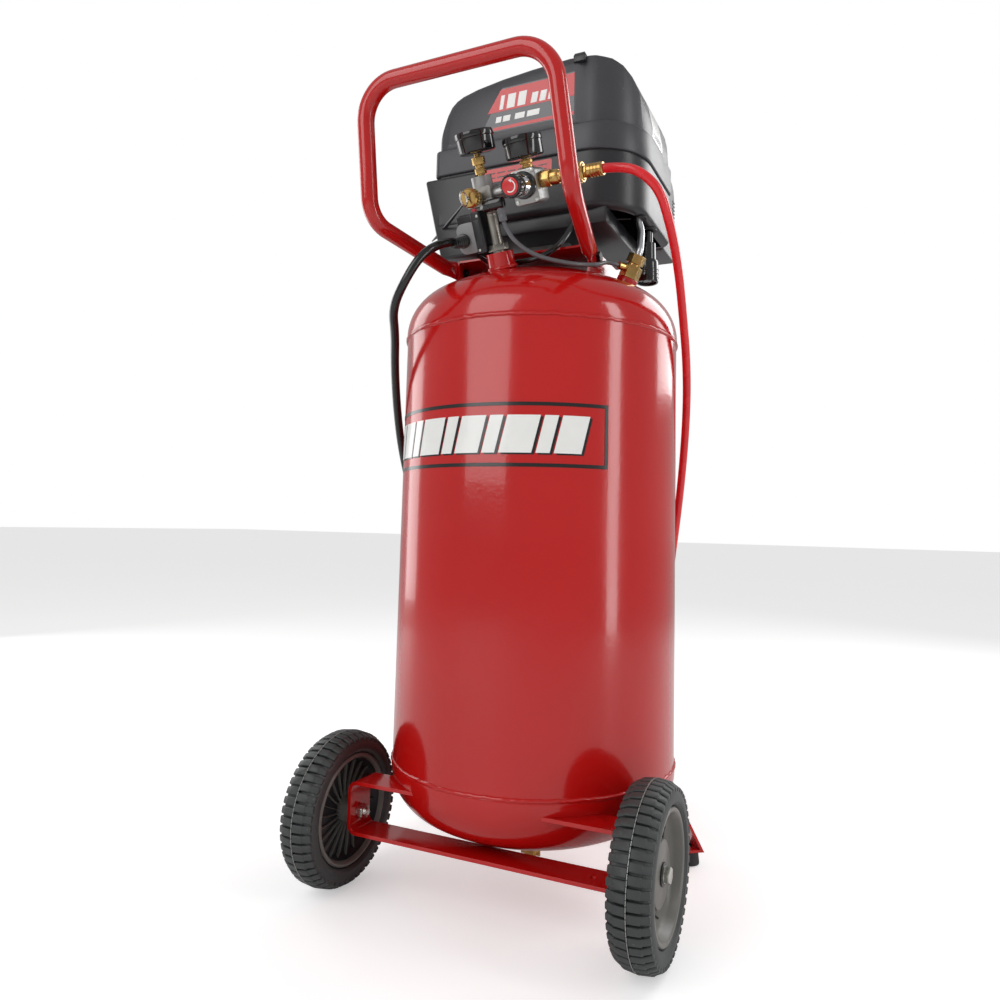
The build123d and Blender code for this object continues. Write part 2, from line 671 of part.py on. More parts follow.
FILTER_XY = (148, TANK_Y + 60)
with BuildPart() as intake_filter:
    with Locations((*FILTER_XY, 869)):
        Cylinder(17, 34, align=(Align.CENTER, Align.CENTER, Align.MIN))
    with Locations((*FILTER_XY, 902)):
        Cylinder(13, 10, align=(Align.CENTER, Align.CENTER, Align.MIN))
        Cylinder(8, 52, align=(Align.CENTER, Align.CENTER, Align.MIN))
    for step in range(5):
        hole_angle = radians(72 * step)
        with Locations((FILTER_XY[0] + 11 * cos(hole_angle), FILTER_XY[1] + 11 * sin(hole_angle), 869)):
            Cylinder(1.8, 8, mode=Mode.SUBTRACT)
save(intake_filter.part, "intake_filter")

unloader_points = [
    tuple(at(27, -24, 55.6)),
    (21, TANK_Y - 168, 882),
    (37, TANK_Y - 158, 864),
    (58, TANK_Y - 147, 853),
    (84, TANK_Y - 133, 847),
    (106, TANK_Y - 110, 848),
    (120, TANK_Y - 82, 856),
    tuple(side_port.origin + side_port.z_dir * 42),
    tuple(side_port.origin + side_port.z_dir * 23.2),
]
with BuildPart() as unloader_tube:
    add(bent_tube(unloader_points, soft_radii(unloader_points), 3.0)[0])
save(unloader_tube.part, "unloader_tube")

lead_points = [
    tuple(at(-38, 12, 20)),
    (-36, TANK_Y - 104, 867),
    (-14, TANK_Y - 100, 867),
    (14, TANK_Y - 101, 867),
    (40, TANK_Y - 102, 869),
    (62, TANK_Y - 93, 886),
    (70, TANK_Y - 74, 912),
    (72, TANK_Y - 56, 938),
    (72, TANK_Y - 40, 956),
]

# ---------------------------------------------------------------- shroud
def plan(inset, back=SHROUD_BACK):
    """The shroud's outline from above: a sharp left front corner and a wide right one."""
    with BuildSketch() as outline:
        with BuildLine():
            left, right = -SHROUD_HALF + inset, SHROUD_HALF - inset
            front_y, back_y = SHROUD_FRONT + inset, back - inset
            small, big = 16 - inset / 2, 82 - inset
            FilletPolyline(
                (right, front_y), (right, back_y), (left, back_y), (left, front_y),
                radius=[big, small, small, small], close=True,
            )
        make_face()
    return outline.sketch


def upper_form(inset):
    """The upper shroud's outer surface (inset 0) or inner surface, as a solid."""
    with BuildPart() as form:
        with BuildSketch(Plane.XY.offset(BELT_LOW)):
            add(plan(inset))
        extrude(amount=BELT_HIGH - BELT_LOW - inset)
        with BuildSketch(Plane.XY.offset(BELT_LOW)):
            add(plan(inset + 5))
        extrude(amount=SHROUD_TOP - BELT_LOW)
        with BuildSketch(Plane.XZ.offset(-REAR_BACK)) as front_view:
            with BuildLine():
                half, top = SHROUD_HALF - inset, SHROUD_TOP - inset
                Polyline((-half + 27, 1150), (-half, BELT_HIGH), (-half, BELT_LOW), (half, BELT_LOW),
                         (half, BELT_HIGH), (half - 12, 1138))
                Spline((half - 12, 1138), (half - 42, top - 8), (60, top), (0, top - 3),
                       (-half + 72, top - 14), (-half + 27, 1150))
            make_face()
        extrude(amount=2 * REAR_BACK, mode=Mode.INTERSECT)
    return form.part


with BuildPart() as shroud_upper:
    add(upper_form(0))
    add(upper_form(SHROUD_SKIN), mode=Mode.SUBTRACT)
save(shroud_upper.part, "shroud_upper")


BOX_LOW, BOX_HIGH = 905.0, 1034.0


def side_box(inset):
    """The tapered box round the skirt's left front corner, its outer or inner surface."""
    with BuildPart() as form:
        with BuildSketch(Plane.XY.offset(BOX_HIGH - inset)) as box_top:
            with Locations((-133, TANK_Y - 2)):
                Rectangle(94 - 2 * inset, 124 - 2 * inset)
        with BuildSketch(Plane.XY.offset(BOX_LOW + inset)) as box_low:
            with Locations((-120, TANK_Y)):
                Rectangle(64 - 2 * inset, 110 - 2 * inset)
        loft(sections=[box_top.sketch, box_low.sketch])
    return form.part


with BuildPart() as shroud_skirt:
    with BuildSketch(Plane.XY.offset(SKIRT_LOW)):
        add(plan(2))
    extrude(amount=BELT_LOW - SKIRT_LOW)
    with BuildSketch(Plane.XY.offset(SKIRT_LOW + SHROUD_SKIN)):
        add(plan(2 + SHROUD_SKIN))
    extrude(amount=BELT_LOW - SKIRT_LOW, mode=Mode.SUBTRACT)
    add(side_box(0))
    add(side_box(SHROUD_SKIN), mode=Mode.SUBTRACT)
    with Locations((-124, TANK_Y, BOX_HIGH)):
        Box(60, 80, 20, mode=Mode.SUBTRACT)
    with Locations((0, TANK_Y + 53.5, SKIRT_LOW)):
        Box(160, 215, 190, mode=Mode.SUBTRACT)
    with Locations((*FILTER_XY, SKIRT_LOW)):
        Cylinder(9, 30, mode=Mode.SUBTRACT)
    with Locations((149, TANK_Y + 8, SKIRT_LOW)):
        Box(24, 26, 30, mode=Mode.SUBTRACT)
save(shroud_skirt.part, "shroud_skirt")

REAR_HALF = 150.0
REAR_SIDE = [(0, SKIRT_LOW), (75, SKIRT_LOW), (75, 1072), (66, 1086), (34, 1094), (20, 1140), (0, 1144)]


def rear_form(inset):
    """The rear vent cover's outer or inner surface, as a solid."""
    with BuildPart() as form:
        with BuildSketch(Plane.YZ.offset(-REAR_HALF + inset)):
            with BuildLine():
                Polyline(*[(SHROUD_BACK + 0.2 + y, z) for y, z in REAR_SIDE], close=True)
            make_face()
        extrude(amount=2 * (REAR_HALF - inset))
    return form.part


with BuildPart() as rear_cover:
    add(rear_form(0))
    add(Pos(0, -SHROUD_SKIN, -SHROUD_SKIN) * rear_form(SHROUD_SKIN), mode=Mode.SUBTRACT)
save(rear_cover.part, "rear_cover")

with BuildPart() as shroud_latch:
    with Locations((78, SHROUD_FRONT + 4, 1172)):
        Box(20, 14, 15, align=(Align.CENTER, Align.CENTER, Align.MIN))
    add(upper_form(0), mode=Mode.SUBTRACT)
save(shroud_latch.part, "shroud_latch")

# ---------------------------------------------------------------- hose, leads and their coils
lead, lead_length = bent_tube(lead_points, soft_radii(lead_points), 4.0)
with BuildPart() as motor_lead:
    add(lead)
save(motor_lead.part, "motor_lead")

HOSE_COIL = (-10.0, TANK_Y + 325.0)       # centre of the coil on the floor
HOSE_COIL_R = 84.0                        # middle of its turns
CORD_COIL = (-170.0, TANK_Y + 241.0)
CORD_COIL_R = 60.0

hose_points = [
    (PLUG_END, OUTLET_Y, OUTLET_Z),
    (180, TANK_Y - 170, 947),
    (204, TANK_Y - 167, 936),
    (223, TANK_Y - 156, 915),
    (228, TANK_Y - 133, 889),
    (229, TANK_Y - 97, 859),
    (225, TANK_Y - 52, 826),
    (219, TANK_Y - 6, 788),
    (213, TANK_Y + 42, 741),
    (204, TANK_Y + 86, 684),
    (191, TANK_Y + 125, 612),
    (175, TANK_Y + 158, 528),
    (157, TANK_Y + 184, 438),
    (143, TANK_Y + 203, 342),
    (131, TANK_Y + 218, 245),
    (118, TANK_Y + 234, 155),
    (102, TANK_Y + 256, 80),
    (86, TANK_Y + 288, 28),
    (HOSE_COIL[0] + HOSE_COIL_R, HOSE_COIL[1] + 6, HOSE_R + 0.8),
]
cord_points = [
    tuple(GLAND.from_local_coords((0, 0, 17))),
    (-60, TANK_Y - 188, 874),
    (-66, TANK_Y - 220, 853),
    (-90, TANK_Y - 238, 812),
    (-116, TANK_Y - 215, 784),
    (-143, TANK_Y - 185, 758),
    (-167, TANK_Y - 146, 720),
    (-189, TANK_Y - 105, 673),
    (-206, TANK_Y - 64, 616),
    (-217, TANK_Y - 16, 550),
    (-221, TANK_Y + 32, 483),
    (-213, TANK_Y + 78, 410),
    (-198, TANK_Y + 120, 335),
    (-180, TANK_Y + 157, 262),
    (-163, TANK_Y + 188, 192),
    (-143, TANK_Y + 193, 128),
    (-127, TANK_Y + 199, 74),
    (-115, TANK_Y + 215, 32),
    (CORD_COIL[0] + CORD_COIL_R, CORD_COIL[1], CORD_R + 0.5),
]


def coil_ring(centre, middle_r, wide, tall):
    """The outer shape of a round coil that lies on the floor."""
    with BuildPart() as ring:
        with BuildSketch(Plane.XZ.offset(-centre[1])):
            with Locations((centre[0] + middle_r, tall / 2)):
                RectangleRounded(wide, tall, 5)
        revolve(axis=Axis((centre[0], centre[1], 0), (0, 0, 1)))
    return ring.part


print("hose radii", [round(r) for r in soft_radii(hose_points)])
hose, hose_run = bent_tube(hose_points, soft_radii(hose_points), HOSE_R)
with BuildPart() as air_hose:
    add(hose)
save(air_hose.part, "air_hose")
print("cord radii", [round(r) for r in soft_radii(cord_points)])
cord, cord_run = bent_tube(cord_points, soft_radii(cord_points), CORD_R)
with BuildPart() as power_cord:
    add(cord)
save(power_cord.part, "power_cord")
print("hose run", round(hose_run), "turns", round((HOSE_LENGTH - hose_run) / (2 * pi * HOSE_COIL_R), 2))
print("cord run", round(cord_run), "turns", round((CORD_LENGTH - cord_run) / (2 * pi * CORD_COIL_R), 2))

with BuildPart() as air_hose_coil:
    add(coil_ring(HOSE_COIL, HOSE_COIL_R, 36.5, 47))
save(air_hose_coil.part, "air_hose_coil")
with BuildPart() as power_cord_coil:
    add(coil_ring(CORD_COIL, CORD_COIL_R, 25, 13))
save(power_cord_coil.part, "power_cord_coil")

# ends of the hose and cord, each lying behind its coil and pointing left
hose_end = Plane(
    origin=(HOSE_COIL[0] - 30, HOSE_COIL[1] + HOSE_COIL_R + 30, HOSE_R + 6), x_dir=(0, 1, 0), z_dir=(-1, 0, 0)
)
with BuildPart() as hose_coupler:
    rod(hose_end, 8, 24)
    hexagon(hose_end, 9.5, 14, 20)
    rod(hose_end, 11, 24, 34)
    bored(hose_end, 6, 26, 38)
save(hose_coupler.part, "hose_coupler")

cord_end = Plane(
    origin=(CORD_COIL[0] + 10, CORD_COIL[1] + CORD_COIL_R + 28, 14), x_dir=(0, 1, 0), z_dir=(-1, 0, 0)
)
with BuildPart() as power_plug:
    with BuildSketch(cord_end) as slim_end:
        Circle(6.5)
    with BuildSketch(cord_end.offset(22)) as wide_end:
        Circle(13)
    loft(sections=[slim_end.sketch, wide_end.sketch])
    with BuildSketch(cord_end.offset(22)):
        Circle(13)
    extrude(amount=18)
    with Locations(*[cord_end.location * Pos(side * 6.35, 3, 49) for side in LEFT_RIGHT]):
        Box(1.5, 6.3, 20)
    with Locations(cord_end.location * Pos(0, -7, 49)):
        Cylinder(2.4, 20)
save(power_plug.part, "power_plug")
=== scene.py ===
"""Looks of a portable upright air compressor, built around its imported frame.

Sizes in the shape functions are millimetres in the row's frame; every finished mesh is metres.
"""
import math

import bmesh
import bpy
from mathutils import Matrix, Vector, noise


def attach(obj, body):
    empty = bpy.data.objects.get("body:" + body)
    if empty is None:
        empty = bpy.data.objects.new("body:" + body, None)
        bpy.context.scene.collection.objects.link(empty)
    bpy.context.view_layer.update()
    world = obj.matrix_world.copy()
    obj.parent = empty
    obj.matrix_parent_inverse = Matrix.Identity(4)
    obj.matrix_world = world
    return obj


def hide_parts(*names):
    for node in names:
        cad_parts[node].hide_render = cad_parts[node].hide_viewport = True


bl_info = {
    "name": "Upright Air Compressor",
    "version": (1, 0, 0),
    "blender": (4, 5, 0),
    "location": "View3D > Sidebar > Compressor",
    "description": "Builds the visible pieces of an upright air compressor around its frame",
    "category": "Object",
}

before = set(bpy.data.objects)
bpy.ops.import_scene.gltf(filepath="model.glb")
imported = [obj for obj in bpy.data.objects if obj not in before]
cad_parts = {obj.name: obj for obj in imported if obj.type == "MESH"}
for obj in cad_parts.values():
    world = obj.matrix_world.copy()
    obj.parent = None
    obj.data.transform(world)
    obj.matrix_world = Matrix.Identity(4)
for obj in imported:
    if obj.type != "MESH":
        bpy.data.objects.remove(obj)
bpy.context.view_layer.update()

MM = 0.001
TANK_Y = 39.0
TANK_R = 203.2
SEAM_LOW, SEAM_HIGH = 165.0, 764.0
HEAD_FLANGE, HEAD_RISE, HEAD_KNUCKLE = 6.0, 104.0, 72.0
HEAD_REACH = TANK_R - HEAD_KNUCKLE
HEAD_CROWN = (HEAD_REACH**2 + HEAD_RISE**2 - HEAD_KNUCKLE**2) / (2 * (HEAD_RISE - HEAD_KNUCKLE))
WHEEL_R, WHEEL_WIDTH = 101.6, 50.0
WHEEL_X, WHEEL_Y = 219.6, TANK_Y - 158.0
RIM_R = 73.0
OUTLET_Y, OUTLET_Z = TANK_Y - 170.0, 949.0
REGULATOR_U, REGULATOR_W = 64.0, 94.0
HANDLE_R = 11.1
SHELL_STEP = 0.9         # how far the shell stands inside the heads' rims
COUPLER_Y, COUPLER_Z = 114.0, 12.0      # the hose's free end, seen from its coil's centre
PLUG_X, PLUG_Y, PLUG_Z = 10.0, 88.0, 14.0
FILTER_X, FILTER_Y = 148.0, TANK_Y + 60.0
VALVE_X, VALVE_Y = 138.0, TANK_Y - 18.0
BELT_LOW, BELT_HIGH = 1038.0, 1080.0
SKIRT_LOW = 952.0
PANEL_RAISE = 4.2
HOSE_D, CORD_D = 0.012, 0.012


# ---------------------------------------------------------------- places
def move(x, y, z):
    """A shift, in millimetres."""
    return Matrix.Translation((x, y, z))


def turn(angle, axis):
    """A turn about an axis, in degrees."""
    return Matrix.Rotation(math.radians(angle), 4, axis)


def facing(origin, across, normal):
    """A place whose Z is the normal and whose X is as near across as it can be."""
    z = Vector(normal).normalized()
    x = Vector(across)
    x = (x - x.dot(z) * z).normalized()
    y = z.cross(x)
    place = Matrix((x, y, z)).transposed().to_4x4()
    place.translation = origin
    return place


CONTROL = facing((-7.5, TANK_Y - 127.4, 855.8), (0.9977, -0.028, 0.062), (-0.068, -0.41, 0.909))


def up_at(u, v, w):
    """A place in the control group's leaning frame that faces up along its riser."""
    return CONTROL @ move(u, v, w)


def front_at(u, v, w):
    """A place in the control group's leaning frame that faces the user."""
    return CONTROL @ move(u, v, w) @ turn(90, "X")


def side_at(x, y, z, side=1):
    """A place that faces along X."""
    return facing((x, y, z), (0, 1, 0), (side, 0, 0))


# ---------------------------------------------------------------- shapes, millimetres
def solid():
    """An empty shape."""
    return bmesh.new()


def put(shape, part, place=None, material=0):
    """Adds a part to a shape, in its place and with one of the piece's materials."""
    if place is not None:
        bmesh.ops.transform(part, matrix=place, verts=part.verts)
    for face in part.faces:
        face.material_index = material
    mesh = bpy.data.meshes.new("part")
    part.to_mesh(mesh)
    part.free()
    shape.from_mesh(mesh)
    bpy.data.meshes.remove(mesh)


def soften(part, width, segments=2, angle=30):
    """Bevels every edge sharper than an angle."""
    sharp = [e for e in part.edges if e.is_manifold and e.calc_face_angle(0) > math.radians(angle)]
    if width and sharp:
        bmesh.ops.bevel(
            part, geom=sharp, offset=width, affect="EDGES", segments=segments, profile=0.5, material=-1,
            clamp_overlap=True,
        )
    return part


def disc(radius, length, bevel=0.4, steps=48):
    """A round rod from its place along Z."""
    part = solid()
    bmesh.ops.create_cone(
        part, cap_ends=True, segments=steps, radius1=radius, radius2=radius, depth=length,
        matrix=move(0, 0, length / 2),
    )
    return soften(part, bevel)


def hexbar(half_flats, length, bevel=0.6):
    """A hexagon bar from its place along Z."""
    return disc(half_flats / math.cos(math.pi / 6), length, bevel, 6)


def brick(low, high, bevel=1.0, segments=2):
    """A block between two corners."""
    part = solid()
    size = [b - a for a, b in zip(low, high)]
    middle = [(a + b) / 2 for a, b in zip(low, high)]
    bmesh.ops.create_cube(part, size=1, matrix=move(*middle) @ Matrix.Diagonal((*size, 1)))
    return soften(part, bevel, segments)


def spun(profile, steps=96, closed=False, start=0.0, sweep=360.0):
    """A shape of revolution about Z from (radius, height) points, as a closed skin."""
    part = solid()
    spots = [part.verts.new((r, 0, z)) for r, z in profile]
    edges = [part.edges.new(pair) for pair in zip(spots, spots[1:])]
    if closed:
        edges.append(part.edges.new((spots[-1], spots[0])))
    full = abs(sweep - 360) < 1e-6
    geometry = spots + edges
    if closed and not full:
        geometry.append(part.faces.new(spots))
    bmesh.ops.rotate(part, cent=(0, 0, 0), matrix=turn(start, "Z").to_3x3(), verts=spots)
    bmesh.ops.spin(
        part, geom=geometry, cent=(0, 0, 0), axis=(0, 0, 1), angle=math.radians(sweep), steps=steps,
        use_merge=full, use_duplicate=False,
    )
    bmesh.ops.remove_doubles(part, verts=part.verts, dist=0.001)
    bmesh.ops.recalc_face_normals(part, faces=part.faces)
    return part


def arc(cx, cz, radius, first, last, count):
    """Points of an arc in the (radius, height) plane, angles in degrees."""
    turns = [math.radians(first + (last - first) * i / count) for i in range(count + 1)]
    return [(max(cx + radius * math.cos(a), 0.0), cz + radius * math.sin(a)) for a in turns]


def bent_line(points, radii, step=8.0):
    """Points along a rigid bent tube: straight runs and arcs tangent to them."""
    spots = [Vector(points[0])]
    for before, corner, after, radius in zip(points, points[1:], points[2:], radii):
        corner = Vector(corner)
        inward, outward = (Vector(before) - corner).normalized(), (Vector(after) - corner).normalized()
        half = inward.angle(outward) / 2
        centre = corner + (inward + outward).normalized() * (radius / math.sin(half))
        first = corner + inward * (radius / math.tan(half)) - centre
        last = corner + outward * (radius / math.tan(half)) - centre
        sweep = first.angle(last)
        count = max(3, int(math.degrees(sweep) / step))
        axis = first.cross(last).normalized()
        spots += [centre + Matrix.Rotation(sweep * i / count, 3, axis) @ first for i in range(count + 1)]
    return spots + [Vector(points[-1])]


def swept(line, radius, steps=24):
    """A round tube along a line of points."""
    curve = bpy.data.curves.new("sweep", "CURVE")
    curve.dimensions = "3D"
    spline = curve.splines.new("POLY")
    spline.points.add(len(line) - 1)
    for spot, target in zip(line, spline.points):
        target.co = (*spot, 1)
    curve.bevel_depth = radius
    curve.bevel_resolution = steps // 4
    curve.use_fill_caps = True
    holder = bpy.data.objects.new("sweep", curve)
    mesh = bpy.data.meshes.new_from_object(holder)
    part = solid()
    part.from_mesh(mesh)
    bpy.data.objects.remove(holder)
    bpy.data.curves.remove(curve)
    bpy.data.meshes.remove(mesh)
    bmesh.ops.remove_doubles(part, verts=part.verts, dist=0.001)
    bmesh.ops.recalc_face_normals(part, faces=part.faces)
    return part


def cut(part, point, normal):
    """Cuts away what lies on the normal's side of a plane and closes the cut."""
    found = bmesh.ops.bisect_plane(
        part, geom=part.verts[:] + part.edges[:] + part.faces[:], plane_co=point, plane_no=normal,
        clear_outer=True,
    )
    rim = [e for e in found["geom_cut"] if isinstance(e, bmesh.types.BMEdge)]
    if rim:
        bmesh.ops.edgenet_fill(part, edges=rim)
    bmesh.ops.recalc_face_normals(part, faces=part.faces)
    return part


def column(left, right, front, back, low, high, corners, segments=10):
    """A box with its four upright edges rounded: left front, right front, right back, left back."""
    part = solid()
    spots = []
    centres = (
        (left + corners[0], front + corners[0], 180), (right - corners[1], front + corners[1], 270),
        (right - corners[2], back - corners[2], 0), (left + corners[3], back - corners[3], 90),
    )
    for (cx, cy, first), radius in zip(centres, corners):
        for i in range(segments + 1):
            a = math.radians(first + 90 * i / segments)
            spots.append(part.verts.new((cx + radius * math.cos(a), cy + radius * math.sin(a), low)))
    base = part.faces.new(spots)
    grown = bmesh.ops.extrude_face_region(part, geom=[base], use_keep_orig=True)
    lifted = [v for v in grown["geom"] if isinstance(v, bmesh.types.BMVert)]
    bmesh.ops.translate(part, vec=(0, 0, high - low), verts=lifted)
    bmesh.ops.recalc_face_normals(part, faces=part.faces)
    return part


def finished(name, shape, body, materials, stands_for=(), angle=35.0):
    """Turns a shape into a named piece that rides on a body and stands for CAD nodes."""
    bmesh.ops.scale(shape, vec=(MM, MM, MM), verts=shape.verts)
    mesh = bpy.data.meshes.new(name)
    shape.to_mesh(mesh)
    shape.free()
    piece = bpy.data.objects.new(name, mesh)
    bpy.context.scene.collection.objects.link(piece)
    for material in materials:
        mesh.materials.append(material)
    mesh.shade_smooth()
    mesh.set_sharp_from_angle(angle=math.radians(angle))
    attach(piece, body)
    if stands_for:
        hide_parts(*stands_for)
    return piece


def dressed(name, node, body, material, bevel=0.5, segments=2):
    """A CAD node's own shape with merged skin and softened edges, standing for that node."""
    shape = solid()
    shape.from_mesh(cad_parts[node].data)
    bmesh.ops.remove_doubles(shape, verts=shape.verts, dist=1e-6)
    bmesh.ops.dissolve_limit(
        shape, angle_limit=math.radians(0.6), verts=shape.verts, edges=shape.edges,
        use_dissolve_boundaries=False,
    )
    bmesh.ops.scale(shape, vec=(1000, 1000, 1000), verts=shape.verts)
    piece = finished(name, shape, body, [material], [node])
    if bevel:
        rounding = piece.modifiers.new("rounding", "BEVEL")
        rounding.width = bevel * MM
        rounding.segments = segments
        rounding.limit_method = "ANGLE"
        rounding.angle_limit = math.radians(32)
        rounding.use_clamp_overlap = True
    return piece


# ---------------------------------------------------------------- materials
def linear(red, green, blue):
    """A display colour, 0 to 255, as the shader's linear colour."""
    shares = (c / 255 for c in (red, green, blue))
    return tuple(c / 12.92 if c <= 10 / 255 else ((c + 0.055) / 1.055) ** 2.4 for c in shares)


def finish(name, colour, rough, metal=0.0, patch=7.0, shade=0.1, spread=0.06, grain=0.0, depth=0.0,
           coat=0.0, coat_rough=0.04, specks=0.0, speck_colour=(0.8, 0.8, 0.8), stretch=(1, 1, 1)):
    """A surface with patchy colour and gloss, a fine moulded or sprayed grain and sparse specks of wear."""
    if name in bpy.data.materials:
        return bpy.data.materials[name]
    material = bpy.data.materials.new(name)
    material.use_nodes = True
    tree = material.node_tree
    shader = tree.nodes["Principled BSDF"]
    shader.inputs["Metallic"].default_value = metal
    shader.inputs["Coat Weight"].default_value = coat
    shader.inputs["Coat Roughness"].default_value = coat_rough
    place = tree.nodes.new("ShaderNodeTexCoord")
    mapping = tree.nodes.new("ShaderNodeMapping")
    mapping.inputs["Scale"].default_value = stretch
    tree.links.new(place.outputs["Object"], mapping.inputs["Vector"])
    cloud = tree.nodes.new("ShaderNodeTexNoise")
    cloud.inputs["Scale"].default_value = patch
    cloud.inputs["Detail"].default_value = 5
    tree.links.new(mapping.outputs["Vector"], cloud.inputs["Vector"])
    ramp = tree.nodes.new("ShaderNodeValToRGB")
    ramp.color_ramp.elements[0].position = 0.3
    ramp.color_ramp.elements[1].position = 0.7
    ramp.color_ramp.elements[0].color = (*[c * (1 - shade) for c in colour], 1)
    ramp.color_ramp.elements[1].color = (*[min(1, c * (1 + shade)) for c in colour], 1)
    tree.links.new(cloud.outputs["Fac"], ramp.inputs["Fac"])
    gloss = tree.nodes.new("ShaderNodeMapRange")
    gloss.inputs["From Min"].default_value = 0.3
    gloss.inputs["From Max"].default_value = 0.7
    gloss.inputs["To Min"].default_value = max(0.02, rough - spread)
    gloss.inputs["To Max"].default_value = min(1.0, rough + spread)
    tree.links.new(cloud.outputs["Fac"], gloss.inputs["Value"])
    tree.links.new(gloss.outputs["Result"], shader.inputs["Roughness"])
    colour_out = ramp.outputs["Color"]
    if specks:
        dust = tree.nodes.new("ShaderNodeTexNoise")
        dust.inputs["Scale"].default_value = 260
        dust.inputs["Detail"].default_value = 3
        tree.links.new(place.outputs["Object"], dust.inputs["Vector"])
        sparse = tree.nodes.new("ShaderNodeValToRGB")
        sparse.color_ramp.elements[0].position = 0.68
        sparse.color_ramp.elements[1].position = 0.74
        sparse.color_ramp.elements[0].color = (0, 0, 0, 1)
        sparse.color_ramp.elements[1].color = (specks, specks, specks, 1)
        tree.links.new(dust.outputs["Fac"], sparse.inputs["Fac"])
        blend = tree.nodes.new("ShaderNodeMix")
        blend.data_type = "RGBA"
        blend.inputs["B"].default_value = (*speck_colour, 1)
        tree.links.new(sparse.outputs["Color"], blend.inputs["Factor"])
        tree.links.new(colour_out, blend.inputs["A"])
        colour_out = blend.outputs["Result"]
    tree.links.new(colour_out, shader.inputs["Base Color"])
    if grain:
        fine = tree.nodes.new("ShaderNodeTexNoise")
        fine.inputs["Scale"].default_value = grain
        fine.inputs["Detail"].default_value = 3
        tree.links.new(mapping.outputs["Vector"], fine.inputs["Vector"])
        bump = tree.nodes.new("ShaderNodeBump")
        bump.inputs["Strength"].default_value = 1.0
        bump.inputs["Distance"].default_value = depth
        tree.links.new(fine.outputs["Fac"], bump.inputs["Height"])
        tree.links.new(bump.outputs["Normal"], shader.inputs["Normal"])
    return material


def red_paint():
    """Sprayed gloss enamel with a little orange peel."""
    return finish("Red_Enamel", tuple(bpy.context.scene.compressor_finish.enamel), 0.16, patch=5, shade=0.05,
                  spread=0.04, grain=170, depth=0.00012, coat=0.3, coat_rough=0.03)


def charcoal():
    """The shroud's satin moulded plastic."""
    return finish("Charcoal_Plastic", tuple(bpy.context.scene.compressor_finish.shroud), 0.36, patch=6,
                  shade=0.1, spread=0.05, grain=900, depth=0.00012, specks=0.12, speck_colour=(0.3, 0.3, 0.3))


def black_moulding():
    """Darker moulded plastic of the skirt and the switch."""
    return finish("Black_Plastic", linear(38, 38, 41), 0.33, patch=9, shade=0.12, spread=0.06, grain=800,
                  depth=0.0001, specks=0.1, speck_colour=(0.25, 0.25, 0.25))


def gloss_black():
    return finish("Gloss_Black", linear(17, 17, 18), 0.1, patch=12, shade=0.1, spread=0.03, grain=300,
                  depth=0.00003, coat=0.5)


def grey_plastic():
    return finish("Grey_Plastic", linear(150, 152, 152), 0.42, shade=0.06, grain=700, depth=0.00008)


def brass():
    return finish("Turned_Brass", linear(196, 160, 98), 0.24, 1.0, patch=60, shade=0.16, spread=0.08,
                  grain=700, depth=0.00005, specks=0.5, speck_colour=linear(120, 80, 40))


def zinc():
    return finish("Zinc_Plate", linear(205, 205, 198), 0.28, 1.0, patch=60, shade=0.12, spread=0.1, grain=500,
                  depth=0.00004)


def cast_zinc():
    return finish("Cast_Zinc", linear(168, 168, 166), 0.42, 0.9, patch=40, shade=0.14, spread=0.1, grain=420,
                  depth=0.0003)


def pipe_steel():
    return finish("Pipe_Steel", linear(150, 146, 138), 0.34, 1.0, patch=50, shade=0.18, spread=0.12,
                  grain=350, depth=0.00008, stretch=(1, 1, 0.25))


def chrome():
    return finish("Chrome", linear(225, 226, 228), 0.07, 1.0, patch=30, shade=0.03, spread=0.03, grain=200,
                  depth=0.00001)


def aluminium():
    return finish("Soft_Aluminium", linear(205, 206, 208), 0.3, 1.0, patch=40, shade=0.08, spread=0.08,
                  grain=400, depth=0.00004, stretch=(1, 1, 0.2))


def cast_aluminium():
    return finish("Cast_Aluminium", linear(170, 170, 170), 0.5, 0.9, patch=30, shade=0.12, grain=350,
                  depth=0.0003)


def tyre_rubber():
    return finish("Tyre_Rubber", tuple(bpy.context.scene.compressor_finish.tyre), 0.5, patch=14, shade=0.2,
                  spread=0.1, grain=700, depth=0.00015, specks=0.35, speck_colour=linear(120, 125, 124))


def hub_plastic():
    return finish("Hub_Plastic", linear(108, 106, 101), 0.34, patch=12, shade=0.08, spread=0.08, grain=600,
                  depth=0.0001, specks=0.2, speck_colour=linear(150, 148, 140))


def foot_rubber():
    return finish("Foot_Rubber", linear(40, 40, 40), 0.62, patch=20, shade=0.15, grain=500, depth=0.0002)


def hose_rubber():
    return finish("Hose_Red", tuple(bpy.context.scene.compressor_finish.hose), 0.26, patch=25, shade=0.08,
                  spread=0.06, grain=500, depth=0.0001, coat=0.3)


def cord_rubber():
    return finish("Cord_Black", linear(16, 16, 17), 0.22, patch=25, shade=0.15, spread=0.06, grain=600,
                  depth=0.00008, coat=0.3)


def tube_grey():
    return finish("Tube_Grey", linear(98, 99, 102), 0.3, patch=30, shade=0.08, grain=400, depth=0.00004)


def label_ink(name, colour):
    """Printed film on a label."""
    return finish(name, colour, 0.24, patch=30, shade=0.03, spread=0.03, grain=900, depth=0.00002, coat=0.3)


def label_black():
    return label_ink("Label_Black", linear(22, 20, 21))


def label_white():
    return label_ink("Label_White", linear(238, 238, 235))


def label_red():
    return label_ink("Label_Red", linear(205, 45, 48))


def label_grey():
    return label_ink("Label_Grey", linear(84, 84, 88))


def lens_glass():
    """Clear gauge window."""
    name = "Gauge_Window"
    if name in bpy.data.materials:
        return bpy.data.materials[name]
    material = finish(name, (0.95, 0.97, 0.97), 0.05, patch=20, shade=0.02, spread=0.02)
    shader = material.node_tree.nodes["Principled BSDF"]
    shader.inputs["Alpha"].default_value = 0.25
    return material


